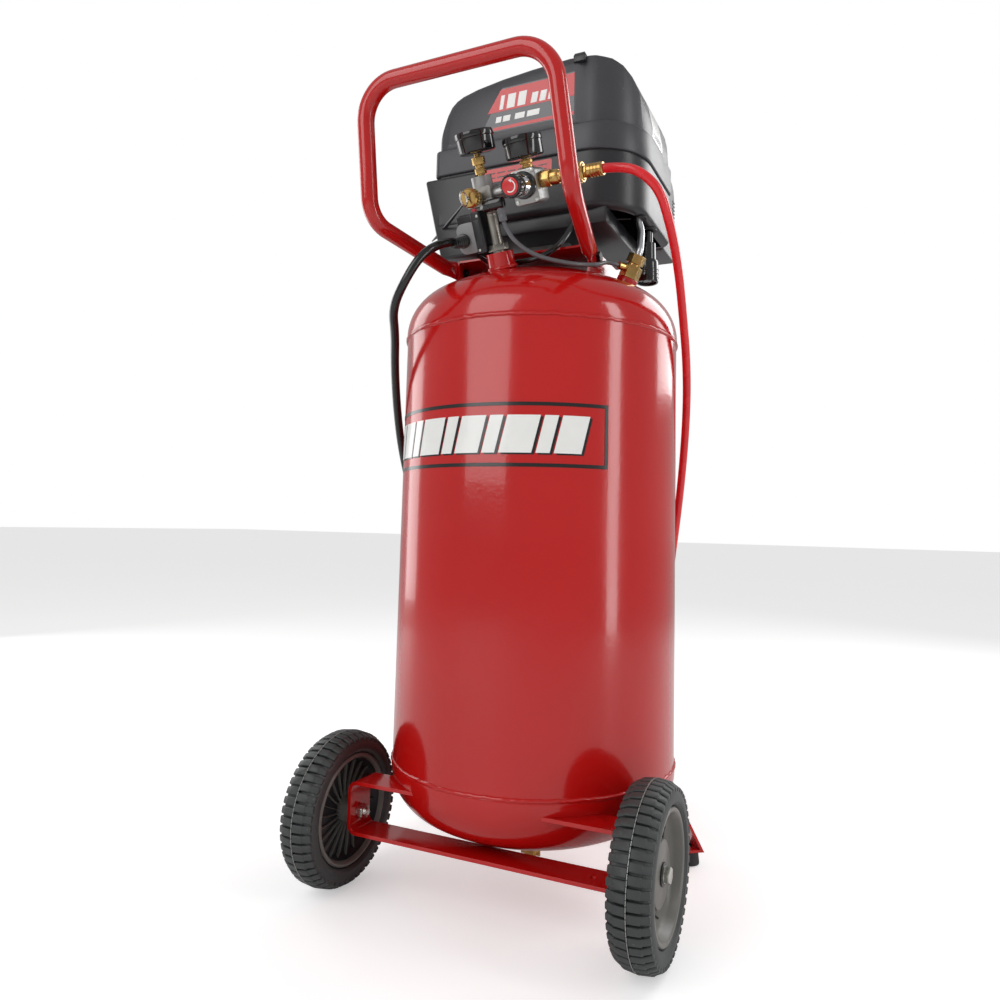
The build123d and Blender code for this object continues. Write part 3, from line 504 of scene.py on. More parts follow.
# ---------------------------------------------------------------- settings
class CompressorFinish(bpy.types.PropertyGroup):
    """Colours that a user would change."""

    enamel: bpy.props.FloatVectorProperty(
        name="Enamel", description="Colour of tank, handle and brackets", subtype="COLOR", size=3, min=0,
        max=1, default=linear(188, 18, 16),
    )
    shroud: bpy.props.FloatVectorProperty(
        name="Shroud", description="Colour of the shroud's upper shell", subtype="COLOR", size=3, min=0,
        max=1, default=linear(62, 62, 66),
    )
    tyre: bpy.props.FloatVectorProperty(
        name="Tyre", description="Colour of the tyres", subtype="COLOR", size=3, min=0, max=1,
        default=linear(58, 61, 61),
    )
    hose: bpy.props.FloatVectorProperty(
        name="Hose", description="Colour of the air hose", subtype="COLOR", size=3, min=0, max=1,
        default=linear(226, 30, 38),
    )


class CompressorSizes(bpy.types.PropertyGroup):
    """Sizes of surface detail that a user would change."""

    tread_blocks: bpy.props.IntProperty(
        name="Tread blocks", description="Blocks round each half of a tyre", default=50, min=24, max=80,
    )
    bead_rise: bpy.props.FloatProperty(
        name="Weld bead", description="Height of the tank's weld beads", default=0.0016, min=0, max=0.004,
        unit="LENGTH", precision=4,
    )
    hub_ribs: bpy.props.IntProperty(
        name="Hub ribs", description="Thin ribs on the inner side of each wheel", default=22, min=6, max=36,
    )


# ---------------------------------------------------------------- free cords
HOSE_COIL, HOSE_COIL_R = (-10.0, TANK_Y + 325.0), 84.0
CORD_COIL, CORD_COIL_R = (-170.0, TANK_Y + 241.0), 60.0

HOSE_ROUTE = [
    (154, OUTLET_Y, OUTLET_Z), (180, TANK_Y - 170, 947), (204, TANK_Y - 167, 936), (223, TANK_Y - 156, 915),
    (228, TANK_Y - 133, 889), (229, TANK_Y - 97, 859), (225, TANK_Y - 52, 826), (219, TANK_Y - 6, 788),
    (213, TANK_Y + 42, 741), (204, TANK_Y + 86, 684), (191, TANK_Y + 125, 612), (175, TANK_Y + 158, 528),
    (157, TANK_Y + 184, 438), (143, TANK_Y + 203, 342), (131, TANK_Y + 218, 245), (118, TANK_Y + 234, 155),
    (102, TANK_Y + 256, 80), (86, TANK_Y + 288, 28),
]
GLAND_TIP = front_at(-50, 0.6, 43) @ Vector((0, 0, 17))
CORD_ROUTE = [
    tuple(GLAND_TIP), (-60, TANK_Y - 192, 875), (-76, TANK_Y - 225, 850), (-96, TANK_Y - 234, 813),
    (-126, TANK_Y - 217, 782), (-143, TANK_Y - 183, 756), (-167, TANK_Y - 146, 720),
    (-189, TANK_Y - 105, 673), (-206, TANK_Y - 64, 616), (-217, TANK_Y - 16, 550), (-221, TANK_Y + 32, 483),
    (-213, TANK_Y + 78, 410), (-198, TANK_Y + 120, 335), (-180, TANK_Y + 157, 262), (-163, TANK_Y + 188, 192),
    (-143, TANK_Y + 193, 128), (-127, TANK_Y + 199, 74), (-115, TANK_Y + 215, 32),
]


def wound(centre, turns):
    """Points of a coil's turns from its right side, each turn given as (radius, height) at its start."""
    per_turn = 16
    spots = []
    for (r0, z0), (r1, z1) in zip(turns, turns[1:]):
        for i in range(per_turn):
            share = max(0.0, (i / per_turn - 0.55) / 0.45)
            ease = share * share * (3 - 2 * share)
            radius = (r0 + (r1 - r0) * ease) / math.cos(math.pi / per_turn) ** 0.5
            a = 2 * math.pi * i / per_turn
            spots.append((centre[0] + radius * math.cos(a), centre[1] + radius * math.sin(a),
                          z0 + (z1 - z0) * ease))
    return spots


def flexible(name, points, diameter, material, node_names):
    """One NURBS cord through a route given in millimetres."""
    curve = bpy.data.curves.new(name, "CURVE")
    curve.dimensions = "3D"
    spline = curve.splines.new("NURBS")
    spline.points.add(len(points) - 1)
    for spot, target in zip(points, spline.points):
        target.co = (spot[0] * MM, spot[1] * MM, spot[2] * MM, 1)
    spline.order_u = 3
    spline.use_endpoint_u = True
    curve.resolution_u = 6
    curve.bevel_depth = diameter / 2
    curve.bevel_resolution = 5
    curve.use_fill_caps = True
    curve.materials.append(material)
    piece = bpy.data.objects.new(name, curve)
    bpy.context.scene.collection.objects.link(piece)
    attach(piece, "tank")
    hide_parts(*node_names)
    return piece


class MakeCamera(bpy.types.Operator):
    """Adds the camera that looks up at the machine from its right front"""

    bl_idname = "compressor.camera"
    bl_label = "Camera"

    def execute(self, context):
        data = bpy.data.cameras.new("Camera")
        camera = bpy.data.objects.new("Camera", data)
        context.scene.collection.objects.link(camera)
        right, up, ahead = (0.909, 0.416, 0.0236), (0.0164, -0.0922, 0.9953), (-0.4166, 0.9046, 0.0906)
        place = Matrix((
            (right[0], up[0], -ahead[0], 0.4631), (right[1], up[1], -ahead[1], -1.0328),
            (right[2], up[2], -ahead[2], 0.4937), (0, 0, 0, 1),
        ))
        camera.matrix_world = place
        data.sensor_width = 36
        data.lens = 27.94
        data.shift_x = -0.0209
        data.shift_y = -0.0444
        data.clip_end = 50
        context.scene.camera = camera
        return {"FINISHED"}


class MakeHose(bpy.types.Operator):
    """Adds the air hose from its plug, round the tank's right side and into a coil behind it"""

    bl_idname = "compressor.hose"
    bl_label = "Air hose"

    def execute(self, context):
        level = [6.8, 18.8, 30.8, 42.8]
        inner, middle, outer = HOSE_COIL_R - 12, HOSE_COIL_R, HOSE_COIL_R + 12.2
        turns = [(middle, level[0]), (inner, level[0]), (inner, level[1]), (middle, level[1]),
                 (middle, level[2]), (inner, level[2]), (inner, level[3]), (middle, level[3]),
                 (outer, level[3]), (outer, level[2]), (outer, level[1]), (outer, level[0]),
                 (outer + 4, level[0] + 0.5)]
        cx, cy = HOSE_COIL
        tail = [(cx + 93, cy + 45, 7.5), (cx + 62, cy + 88, 9.5), (cx + 22, cy + 111, 11.5),
                (cx - 10, cy + COUPLER_Y, COUPLER_Z), (cx - 32, cy + COUPLER_Y, COUPLER_Z)]
        coil = wound(HOSE_COIL, turns)
        hose = flexible("Air_Hose", HOSE_ROUTE + coil + tail, HOSE_D, hose_rubber(),
                        ["air_hose", "air_hose_coil"])
        shape = solid()
        place = side_at(cx - 30, cy + COUPLER_Y, COUPLER_Z, -1)
        put(shape, disc(8.6, 25, 0.8), place)
        put(shape, hexbar(9.5, 14, 0.8), place @ move(0, 0, 20))
        put(shape, spun([(6, 12), (6, 38), (10, 38), (10.9, 37), (10.9, 34), (10.2, 33.4), (10.2, 31),
                         (10.9, 30.4), (10.9, 16), (9, 14), (6, 12)], 48), place @ move(0, 0, 20))
        end = finished("Hose_End_Coupler", shape, "tank", [brass()], ["hose_coupler"])
        return {"FINISHED"}


class MakeCord(bpy.types.Operator):
    """Adds the power cord from the switch's gland, round the tank's left side and into a coil behind it"""

    bl_idname = "compressor.cord"
    bl_label = "Power cord"

    def execute(self, context):
        cx, cy = CORD_COIL
        turns = [(CORD_COIL_R - 6, 6.5), (CORD_COIL_R + 6.2, 6.5), (CORD_COIL_R + 9, 6.6)]
        tail = [(cx + 62, cy + 30, 7), (cx + 49, cy + 58, 9), (cx + 33, cy + 78, 12), (cx + 18, cy + 87, 14),
                (cx + PLUG_X - 2, cy + PLUG_Y, PLUG_Z)]
        cord = flexible("Power_Cord", CORD_ROUTE + wound(CORD_COIL, turns) + tail, CORD_D, cord_rubber(),
                        ["power_cord", "power_cord_coil"])
        shape = solid()
        place = side_at(cx + PLUG_X, cy + PLUG_Y, PLUG_Z, -1)
        put(shape, spun([(0, 0), (6.3, 0), (6.6, 4), (6.2, 5), (7.4, 9), (7, 10), (8.6, 14), (8.4, 15),
                         (11.4, 20), (12.6, 24), (12.6, 33), (11.8, 36), (11.8, 39), (0, 39)], 48), place)
        for side in (-1, 1):
            put(shape, brick((side * 6.35 - 0.75, -0.2, 38), (side * 6.35 + 0.75, 6.1, 59), 0.3), place, 1)
        put(shape, disc(2.4, 20, 0.8, 24), place @ move(0, -7, 38.5), 1)
        plug = finished("Mains_Plug", shape, "tank", [black_moulding(), brass()],
                        ["power_plug"])
        relief = solid()
        rings = [(0, 0), (9.8, 0), (10.2, 1.5), (10.2, 4), (9.6, 5)]
        for i in range(6):
            z, r = 5.4 + 5 * i, 9.6 - 0.45 * i
            rings += [(r, z), (r - 0.1, z + 3.0), (r - 0.9, z + 3.5), (r - 0.9, z + 4.5)]
        rings += [(6.3, 36), (0, 36)]
        put(relief, spun(rings, 48), front_at(-50, 0.6, 43) @ move(0, 0, 0.2))
        sleeve = finished("Cord_Strain_Relief", relief, "tank", [gloss_black()],
                          ["cord_gland"])
        return {"FINISHED"}


# ---------------------------------------------------------------- tank
AXIS = move(0, TANK_Y, 0)


class MakeTank(bpy.types.Operator):
    """Adds the tank's dished heads and shell, its weld beads and its bungs"""

    bl_idname = "compressor.tank"
    bl_label = "Tank"

    def execute(self, context):
        low, high = SEAM_LOW - HEAD_FLANGE, SEAM_HIGH + HEAD_FLANGE
        blend = math.degrees(math.atan2(HEAD_CROWN - HEAD_RISE, HEAD_REACH))
        rise = HEAD_RISE - HEAD_CROWN
        profile = arc(0, low - rise, HEAD_CROWN, -90, -blend, 18)[:-1]
        profile += arc(HEAD_REACH, low, HEAD_KNUCKLE, -blend, 0, 14)
        profile += [(TANK_R, SEAM_LOW - 1), (TANK_R - SHELL_STEP, SEAM_LOW),
                    (TANK_R - SHELL_STEP, SEAM_LOW + 4)]
        profile += [(TANK_R - SHELL_STEP, SEAM_LOW + (SEAM_HIGH - SEAM_LOW) * i / 24) for i in range(1, 24)]
        profile += [(TANK_R - SHELL_STEP, SEAM_HIGH - 4), (TANK_R - SHELL_STEP, SEAM_HIGH),
                    (TANK_R, SEAM_HIGH + 1)]
        profile += arc(HEAD_REACH, high, HEAD_KNUCKLE, 0, blend, 14)
        profile += arc(0, high + rise, HEAD_CROWN, blend, 90, 18)[1:]
        shape = solid()
        put(shape, spun(profile, 160), AXIS)
        for vert in shape.verts:
            wave = noise.noise(Vector((vert.co.x * 0.012, vert.co.y * 0.012, vert.co.z * 0.012)))
            inward = Vector((-vert.co.x, TANK_Y - vert.co.y, 0)).normalized()
            if SEAM_LOW < vert.co.z < SEAM_HIGH:
                vert.co += inward * (0.25 + 0.25 * wave)
        finished("Tank_Body", shape, "tank", [red_paint()], ["tank_shell", "tank_heads"], 60)
        bead = solid()
        rise_mm = context.scene.compressor_sizes.bead_rise / MM
        for seam, seed in ((SEAM_LOW, 3.0), (SEAM_HIGH, 9.0)):
            ring = spun(arc(TANK_R - 1.2, seam, rise_mm + 1.0, -90, 90, 6), 420)
            for vert in ring.verts:
                a = math.atan2(vert.co.y, vert.co.x)
                ripple = noise.noise(Vector((math.cos(a) * 22, math.sin(a) * 22, seed)))
                fine = noise.noise(Vector((math.cos(a) * 60, math.sin(a) * 60, seed)))
                vert.co.z += 1.3 * ripple + 0.5 * fine
                out = Vector((vert.co.x, vert.co.y, 0)).normalized()
                vert.co += out * (0.35 * fine + 0.3 * ripple)
            put(bead, ring, AXIS)
        finished("Weld_Beads", bead, "tank", [red_paint()], (), 70)
        dressed("Tank_Bungs", "tank_bungs", "tank", red_paint(), 0.8)
        collar = solid()
        ring = spun(arc(19, 0, 2.6, -60, 90, 6) + [(17, 2)], 90)
        for vert in ring.verts:
            a = math.atan2(vert.co.y, vert.co.x)
            vert.co.z += 1.1 * noise.noise(Vector((math.cos(a) * 5, math.sin(a) * 5, 2.0)))
        put(collar, ring, up_at(0, 0, -3.2))
        finished("Riser_Weld", collar, "tank", [red_paint()], (), 70)
        return {"FINISHED"}


class MakeTankLabel(bpy.types.Operator):
    """Adds the tank's wide label: a black outline round a row of plain slanted bars"""

    bl_idname = "compressor.tank_label"
    bl_label = "Tank label"

    def execute(self, context):
        skin = TANK_R - SHELL_STEP
        low, high = 568.0, 650.0

        def strip(first, last, z0, z1, lean=0.0, lift=0.22):
            """A thin curved film between two angles from the front, its end edges leaning."""
            count = max(2, int(abs(last - first) / 1.5))
            part = spun([(skin - 0.2, z0), (skin + lift, z0), (skin + lift, z1), (skin - 0.2, z1)], count,
                        True, first - 90, last - first)
            for vert in part.verts:
                a = math.radians(lean) * (vert.co.z - z0) / max(z1 - z0, 1)
                vert.co = turn(math.degrees(a), "Z") @ vert.co
            return part

        shape = solid()
        left, right, edge, line = -63.6, 48.9, 1.3, 4.6
        put(shape, strip(left, right, low, low + line), AXIS)
        put(shape, strip(left, right, high - line, high), AXIS)
        put(shape, strip(left, left + edge, low, high), AXIS)
        put(shape, strip(right - edge, right, low, high), AXIS)
        bars = [(-56, 7), (-47.5, 10), (-36, 5), (-29.5, 12), (-16, 5), (-9.5, 10), (2, 5), (8.5, 12),
                (22, 5), (28.5, 10)]
        for first, wide in bars:
            put(shape, strip(first + 0.9, first + wide + 0.9, low + 15.5, high - 18.5, 3.2, 0.3), AXIS, 0)
            put(shape, strip(first, first + wide, low + 17.5, high - 16.5, 3.2, 0.45), AXIS, 1)
        finished("Tank_Label", shape, "tank", [label_black(), label_white()], (), 40)
        return {"FINISHED"}


# ---------------------------------------------------------------- wheels
def tread(blocks):
    """A tyre about Z: carcass, two staggered rows of blocks and their shoulder lugs."""
    half = WHEEL_WIDTH / 2
    base = WHEEL_R - 6.6
    profile = [(RIM_R, -half + 5)] + arc(RIM_R + 9, -half + 9, 9, 200, 268, 5)
    profile += [(WHEEL_R - 12, -half + 1.2), (WHEEL_R - 7.5, -half + 5), (base, -half + 12),
                (base + 0.8, -1.6), (base + 0.8, 1.6), (base, half - 12),
                (WHEEL_R - 7.5, half - 5), (WHEEL_R - 12, half - 1.2)]
    profile += arc(RIM_R + 9, half - 9, 9, 92, 160, 5) + [(RIM_R, half - 5)]
    tyre = spun(profile + [(RIM_R, -half + 5)], 112)
    pitch = 360 / blocks
    long = 2 * math.pi * WHEEL_R / blocks * 0.76
    for side in (-1, 1):
        for i in range(blocks):
            place = turn(pitch * (i + 0.25 * side), "Z")
            block = brick((base - 1, -long / 2, 0.6), (WHEEL_R - 0.25, long / 2, 15.5), 0.8, 1)
            for vert in block.verts:
                if vert.co.z > 10 and vert.co.x > base + 1:
                    vert.co.x -= 1.6
            bmesh.ops.transform(block, matrix=Matrix.Diagonal((1, 1, side, 1)), verts=block.verts)
            if side < 0:
                bmesh.ops.reverse_faces(block, faces=block.faces)
            put(tyre, block, place)
            lug = brick((WHEEL_R - 17, -long * 0.46, 13), (WHEEL_R - 2.2, long * 0.46, half - 0.5), 1.2, 1)
            for vert in lug.verts:
                if vert.co.x > WHEEL_R - 8 and vert.co.z > 18:
                    vert.co.x -= 4.5
                if vert.co.x < WHEEL_R - 12:
                    vert.co.z -= 1.2
            bmesh.ops.transform(lug, matrix=Matrix.Diagonal((1, 1, side, 1)), verts=lug.verts)
            if side < 0:
                bmesh.ops.reverse_faces(lug, faces=lug.faces)
            put(tyre, lug, place)
    for side in (-1, 1):
        put(tyre, spun(arc(RIM_R + 6, side * (half - 1.4), 1.1, 0, 360, 10), 96))
    for i in range(2 * blocks):
        put(tyre, brick((WHEEL_R - 0.9, -0.28 * long, -0.45), (WHEEL_R - 0.05, 0.28 * long, 0.45), 0),
            turn(pitch / 2 * i, "Z"), 1)
    return tyre


def hub(ribs):
    """A hub about Z, its outer face towards +Z: a bowl with a raised disc and crescents, ribs behind in pale
    plastic as painted highlight.
    """
    half = WHEEL_WIDTH / 2
    bowl = [(6.4, 13.6), (34, 13.6), (36.4, 12.6), (37, 10.5), (38.5, 4.5), (42, 2.6), (52, 3.2), (60, 6.5),
            (64.5, 12), (66.5, half - 4.5), (69, half - 2.6), (71.6, half - 2.6), (72.8, half - 4)]
    back = [(72.8, -half + 4), (71.4, -half + 2.6), (69, -half + 2.6), (66.5, -half + 5), (64.5, -10),
            (60, -5), (18, -6), (16, -half + 3), (15, -half + 1), (6.4, -half + 1), (6.4, 13.6)]
    shape = solid()
    put(shape, spun(bowl + back, 96))
    for i in range(6):
        crescent = spun([(47, 2.0), (51.5, 2.0), (51.0, 7.6), (48.2, 7.2)], 16, True, 0, 34)
        for vert in crescent.verts:
            share = (math.degrees(math.atan2(vert.co.y, vert.co.x)) - 17) / 17
            vert.co.z = 2.0 + (vert.co.z - 2.0) * max(0.05, 1 - share * share)
            vert.co.xy *= 1 + 0.16 * share
        put(shape, soften(crescent, 0.5, 2), turn(60 * i + 8, "Z"))
    for i in range(6):
        line = [Vector((r * math.cos(a), r * math.sin(a), 0)) for r, a in
                ((39.5, 0.0), (42.5, 0.16), (46.5, 0.3), (51, 0.42), (56, 0.5))]
        slot = swept(line, 1.3, 8)
        bmesh.ops.transform(slot, matrix=move(0, 0, 3.4), verts=slot.verts)
        for vert in slot.verts:
            vert.co.z += 0.012 * max(0.0, vert.co.xy.length - 42) ** 2 - 0.6
        put(shape, slot, turn(60 * i + 44, "Z"), 1)
    dish = [(15.4, -6.2), (17, -6.9), (60, -5.9), (64.2, -10.4), (65.8, -17), (65.0, -17), (63, -10),
            (59, -5.0), (15.4, -5.4), (15.4, -6.2)]
    put(shape, spun(dish, 96), None, 1)
    # The ribs take the pale hub plastic on the black dish: a painted highlight along ribs of the dark inner
    # moulding.
    for i in range(ribs):
        line = [Vector((r, (r - 16) * 0.16 + 0.004 * (r - 16) ** 2, 0)) for r in (16, 26, 36, 46, 56, 63)]
        rib = swept(line, 0.55, 8)
        bmesh.ops.transform(rib, matrix=move(0, 0, -8.4) @ Matrix.Diagonal((1, 1, 5, 1)), verts=rib.verts)
        put(shape, rib, turn(360 / ribs * i, "Z"), 0)
    return shape


class MakeWheels(bpy.types.Operator):
    """Adds both wheels with their treads, and their axle bolts"""

    bl_idname = "compressor.wheels"
    bl_label = "Wheels"

    def execute(self, context):
        sizes = context.scene.compressor_sizes
        for side, word in ((-1, "left"), (1, "right")):
            place = move(side * WHEEL_X, WHEEL_Y, WHEEL_R) @ turn(90 * side, "Y")
            shape = tread(sizes.tread_blocks)
            bmesh.ops.transform(shape, matrix=place, verts=shape.verts)
            finished("Tyre_" + word.title(), shape, "wheel_" + word,
                     [tyre_rubber(), label_ink("Parting_Line", linear(150, 152, 148))], ["tyre_" + word], 40)
            shape = hub(sizes.hub_ribs)
            bmesh.ops.transform(shape, matrix=place, verts=shape.verts)
            finished("Hub_" + word.title(), shape, "wheel_" + word,
                     [hub_plastic(), black_moulding()], ["hub_" + word], 40)
        shape = solid()
        for side in (-1, 1):
            place = side_at(0, WHEEL_Y, WHEEL_R, side)
            put(shape, disc(6.3, 60, 0.5, 32), place @ move(0, 0, 176))
            put(shape, disc(13, 1.8, 0.4), place @ move(0, 0, 233.4), 1)
            put(shape, disc(9.6, 1.4, 0.3), place @ move(0, 0, 235.2))
            put(shape, hexbar(8.6, 6.6, 0.9), place @ move(0, 0, 236.4))
            put(shape, hexbar(9.4, 8.2, 1.0), place @ move(0, 0, 178))
            put(shape, disc(9, 1.4, 0.3), place @ move(0, 0, 186))
            put(shape, disc(5.4, 4, 0.6, 32), place @ move(0, 0, 174.6))
        finished("Axle_Bolts", shape, "tank", [zinc(), black_moulding()], ["axle_bolts"])
        return {"FINISHED"}


# ---------------------------------------------------------------- frame
class MakeFrame(bpy.types.Operator):
    """Adds the push handle and dresses the strap, saddle, feet and their bolts"""

    bl_idname = "compressor.frame"
    bl_label = "Handle and frame"

    def execute(self, context):
        corners = [(112, TANK_Y - 104, 872), (142, TANK_Y - 252, 893), (131.5, TANK_Y - 292, 1055)]
        line = [(-x, y, z) for x, y, z in corners] + corners[::-1]
        shape = solid()
        put(shape, swept(bent_line(line, [42, 50, 50, 42], 5.0), HANDLE_R, 40))
        for side in (-1, 1):
            start = Vector((side * 112, TANK_Y - 104, 872))
            ahead = (start - Vector((side * 142, TANK_Y - 252, 893))).normalized()
            flat = solid()
            bmesh.ops.create_circle(flat, segments=32, radius=HANDLE_R, cap_ends=True,
                                    matrix=facing(start, (side, 0.2, 0), ahead))
            outlines = (
                (facing((side * 108.6, TANK_Y - 93, 873), (side, 0, 0), (0, 1, 0)), 6.2, 12.6),
                (facing((side * 107.8, TANK_Y - 83, 874), (side, 0, 0), (0, 1, 0)), 2.5, 13.6),
                (facing((side * 107.8, TANK_Y - 62, 874), (side, 0, 0), (0, 1, 0)), 2.4, 13.6),
                (facing((side * 107.8, TANK_Y - 46, 874), (side, 0, 0), (0, 1, 0)), 2.2, 10.5),
            )
            for place, thick, tall in outlines:
                bmesh.ops.create_circle(flat, segments=32, radius=1, cap_ends=True,
                                        matrix=place @ Matrix.Diagonal((thick, tall, 1, 1)))
            faces = list(flat.faces)
            for a, b in zip(faces, faces[1:]):
                bmesh.ops.bridge_loops(flat, edges=list(a.edges) + list(b.edges))
            bmesh.ops.delete(flat, geom=faces[1:-1], context="FACES_ONLY")
            bmesh.ops.recalc_face_normals(flat, faces=flat.faces)
            put(shape, flat)
        finished("Push_Handle", shape, "tank", [red_paint()], ["handle_tube"], 50)
        dressed("Axle_Strap", "axle_strap", "tank", red_paint(), 0.9)
        dressed("Foot_Brackets", "foot_brackets", "tank", red_paint(), 0.8)
        dressed("Saddle_Plate", "saddle_plate", "tank", red_paint(), 0.7)
        black_steel = finish("Black_Steel", linear(24, 24, 25), 0.35, 0.6, patch=60, shade=0.2, grain=500,
                             depth=0.0001)
        dressed("Frame_Bolts", "frame_bolts", "tank", black_steel, 0.5)
        dressed("Rubber_Feet", "rubber_feet", "tank", foot_rubber(), 1.0)
        return {"FINISHED"}


# ---------------------------------------------------------------- controls
class MakeControls(bpy.types.Operator):
    """Adds the riser pipe, manifold, pressure switch, unloader and relief valve"""

    bl_idname = "compressor.controls"
    bl_label = "Control group"

    def execute(self, context):
        shape = solid()
        put(shape, spun([(5.9, 1), (8.5, 1), (8.5, 62), (8.1, 64), (8.5, 65)] +
                        [(8.5 - 0.45 * (i % 2), 66 + 0.9 * i) for i in range(10)] + [(5.9, 76), (5.9, 1)],
                        48),
            up_at(0, 0, 4))
        put(shape, hexbar(12.5, 9, 0.8), up_at(0, 0, 20.2))
        finished("Riser_Pipe", shape, "tank", [pipe_steel()], ["riser_pipe"])
        dressed("Manifold", "manifold", "tank", cast_zinc(), 1.6, 3)
        shape = solid()
        put(shape, brick((-58, 4.5, 22), (-11.5, 36, 76), 2.2, 3), CONTROL)
        put(shape, brick((-26, -14, 21), (-11.5, 6, 77.5), 1.8, 3), CONTROL)
        put(shape, brick((-24, -14.8, 30), (-13.5, -12, 66), 1.0), CONTROL)
        put(shape, brick((-54, 8, 75), (-15, 18, 77.5), 0.6), CONTROL)
        for u, w in ((-21.5, 26), (-15.5, 71)):
            put(shape, disc(1.9, 1.4, 0.4, 20), front_at(u, -13.6, w), 1)
        put(shape, disc(1.5, 10, 0.3, 20), front_at(-35, 27, 72), 1)
        finished("Pressure_Switch", shape, "tank", [black_moulding(), zinc()],
                 ["switch_body"])
        plate = column(-16.75, 16.75, -21, 21, 0, 3.6, (11, 11, 11, 11), 8)
        soften(plate, 0.8, 2, 60)
        shape = solid()
        put(shape, plate, front_at(-43, 4.4, 45))
        finished("Switch_Plate", shape, "tank", [grey_plastic()], ["switch_plate"])
        dressed("Switch_Lever", "switch_lever", "power_lever", label_red(), 0.7)
        shape = solid()
        elbow = facing(up_at(4, -24, 80).translation, up_at(4, -24, 80).to_3x3() @ Vector((0, 1, 0)),
                       up_at(4, -24, 80).to_3x3() @ Vector((1, 0, 0)))
        put(shape, spun([(0, 0), (7.6, 0), (8.5, 1), (8.5, 8), (7.8, 8.6), (7.8, 10), (8.5, 10.6), (8.5, 26),
                         (7.4, 28), (0, 28)], 48), elbow)
        put(shape, disc(6, 9, 0.5), front_at(8, -14.5, 84))
        put(shape, spun([(0, 0), (4.6, 0), (5.4, 1), (5.4, 8), (4.9, 9), (5.4, 10), (5.4, 24), (0, 24)], 40),
            up_at(27, -24, 56), 1)
        finished("Unloader_Valve", shape, "tank", [gloss_black(), tube_grey()],
                 ["unloader_valve"])
        shape = solid()
        place = front_at(-8, -18, 94)
        put(shape, hexbar(9, 10, 0.8), place)
        knurl = [(2.2, 10.5), (11.4, 10.5), (12.4, 11.5), (12.4, 14), (11.2, 15), (11.2, 17.5), (12.4, 18.5),
                 (12.4, 22), (10.6, 24), (2.2, 24)]
        put(shape, spun(knurl + [(2.2, 10.5)], 48), place)
        for i in range(20):
            put(shape, brick((11.2, -0.7, 12), (12.8, 0.7, 21.5), 0.3, 1), place @ turn(18 * i, "Z"))
        finished("Relief_Valve", shape, "tank", [brass()], ["relief_valve"])
        dressed("Relief_Ring", "relief_ring", "relief_pull", zinc(), 0)
        return {"FINISHED"}


class MakeRegulator(bpy.types.Operator):
    """Adds the regulator's body, bonnet, collar, ribbed knob and its cap with a turning arrow"""

    bl_idname = "compressor.regulator"
    bl_label = "Regulator"

    def execute(self, context):
        u, w = REGULATOR_U, REGULATOR_W
        shape = solid()
        body = column(-18, 18, -22, 22, 0, 36, (5, 5, 5, 5), 5)
        soften(body, 1.4, 2, 60)
        put(shape, body, front_at(u, 18, w - 2))
        for a, b in ((-14, -18), (14, -18), (-14, 18), (14, 18)):
            put(shape, disc(2.6, 1.6, 0.5, 20), front_at(u + a, -17.6, w - 2 + b), 1)
        finished("Regulator_Body", shape, "tank", [cast_zinc(), zinc()], ["regulator_body"])
        place = front_at(u, 0, w)
        shape = solid()
        put(shape, spun([(4, 18), (16.6, 18), (17.5, 19), (17.5, 23.4), (16.6, 25), (4, 25)], 64), place, 1)
        put(shape, spun([(4, 24.8), (14, 24.8), (14, 43), (13.2, 45.4), (12, 46), (4, 46)], 64), place)
        put(shape, disc(4, 12, 0.4, 32), place @ move(0, 0, 45.8))
        finished("Regulator_Bonnet", shape, "tank", [chrome(), gloss_black()], ["regulator_bonnet"])
        shape = solid()
        put(shape, spun([(4.06, 47), (14.2, 47), (14.8, 48), (14.8, 51), (14, 52), (14, 61.6), (13, 63.4),
                         (11.4, 63.5), (11.2, 63.0), (4.06, 63.0), (4.06, 47)], 72), place)
        for i in range(30):
            put(shape, brick((13.4, -0.55, 52.4), (15, 0.55, 62), 0.3, 1), place @ turn(12 * i, "Z"))
        finished("Regulator_Knob", shape, "pressure_knob", [gloss_black()],
                 ["regulator_knob"])
        shape = solid()
        put(shape, disc(11, 2, 0.6, 64), place @ move(0, 0, 63.2))
        put(shape, spun([(6.2, 65.1), (7.7, 65.1), (7.7, 65.35), (6.2, 65.35)], 24, True, 70, -200), place, 1)
        head = solid()
        bmesh.ops.create_cone(head, cap_ends=True, segments=3, radius1=2.6, radius2=2.6, depth=0.3,
                              matrix=move(6.95, 0, 65.2))
        put(shape, head, place @ turn(74, "Z"), 1)
        finished("Knob_Cap", shape, "pressure_knob", [label_red(), label_white()],
                 ["knob_cap"])
        return {"FINISHED"}


GAUGES = {"tank": (0, 150), "outlet": (66, 128)}


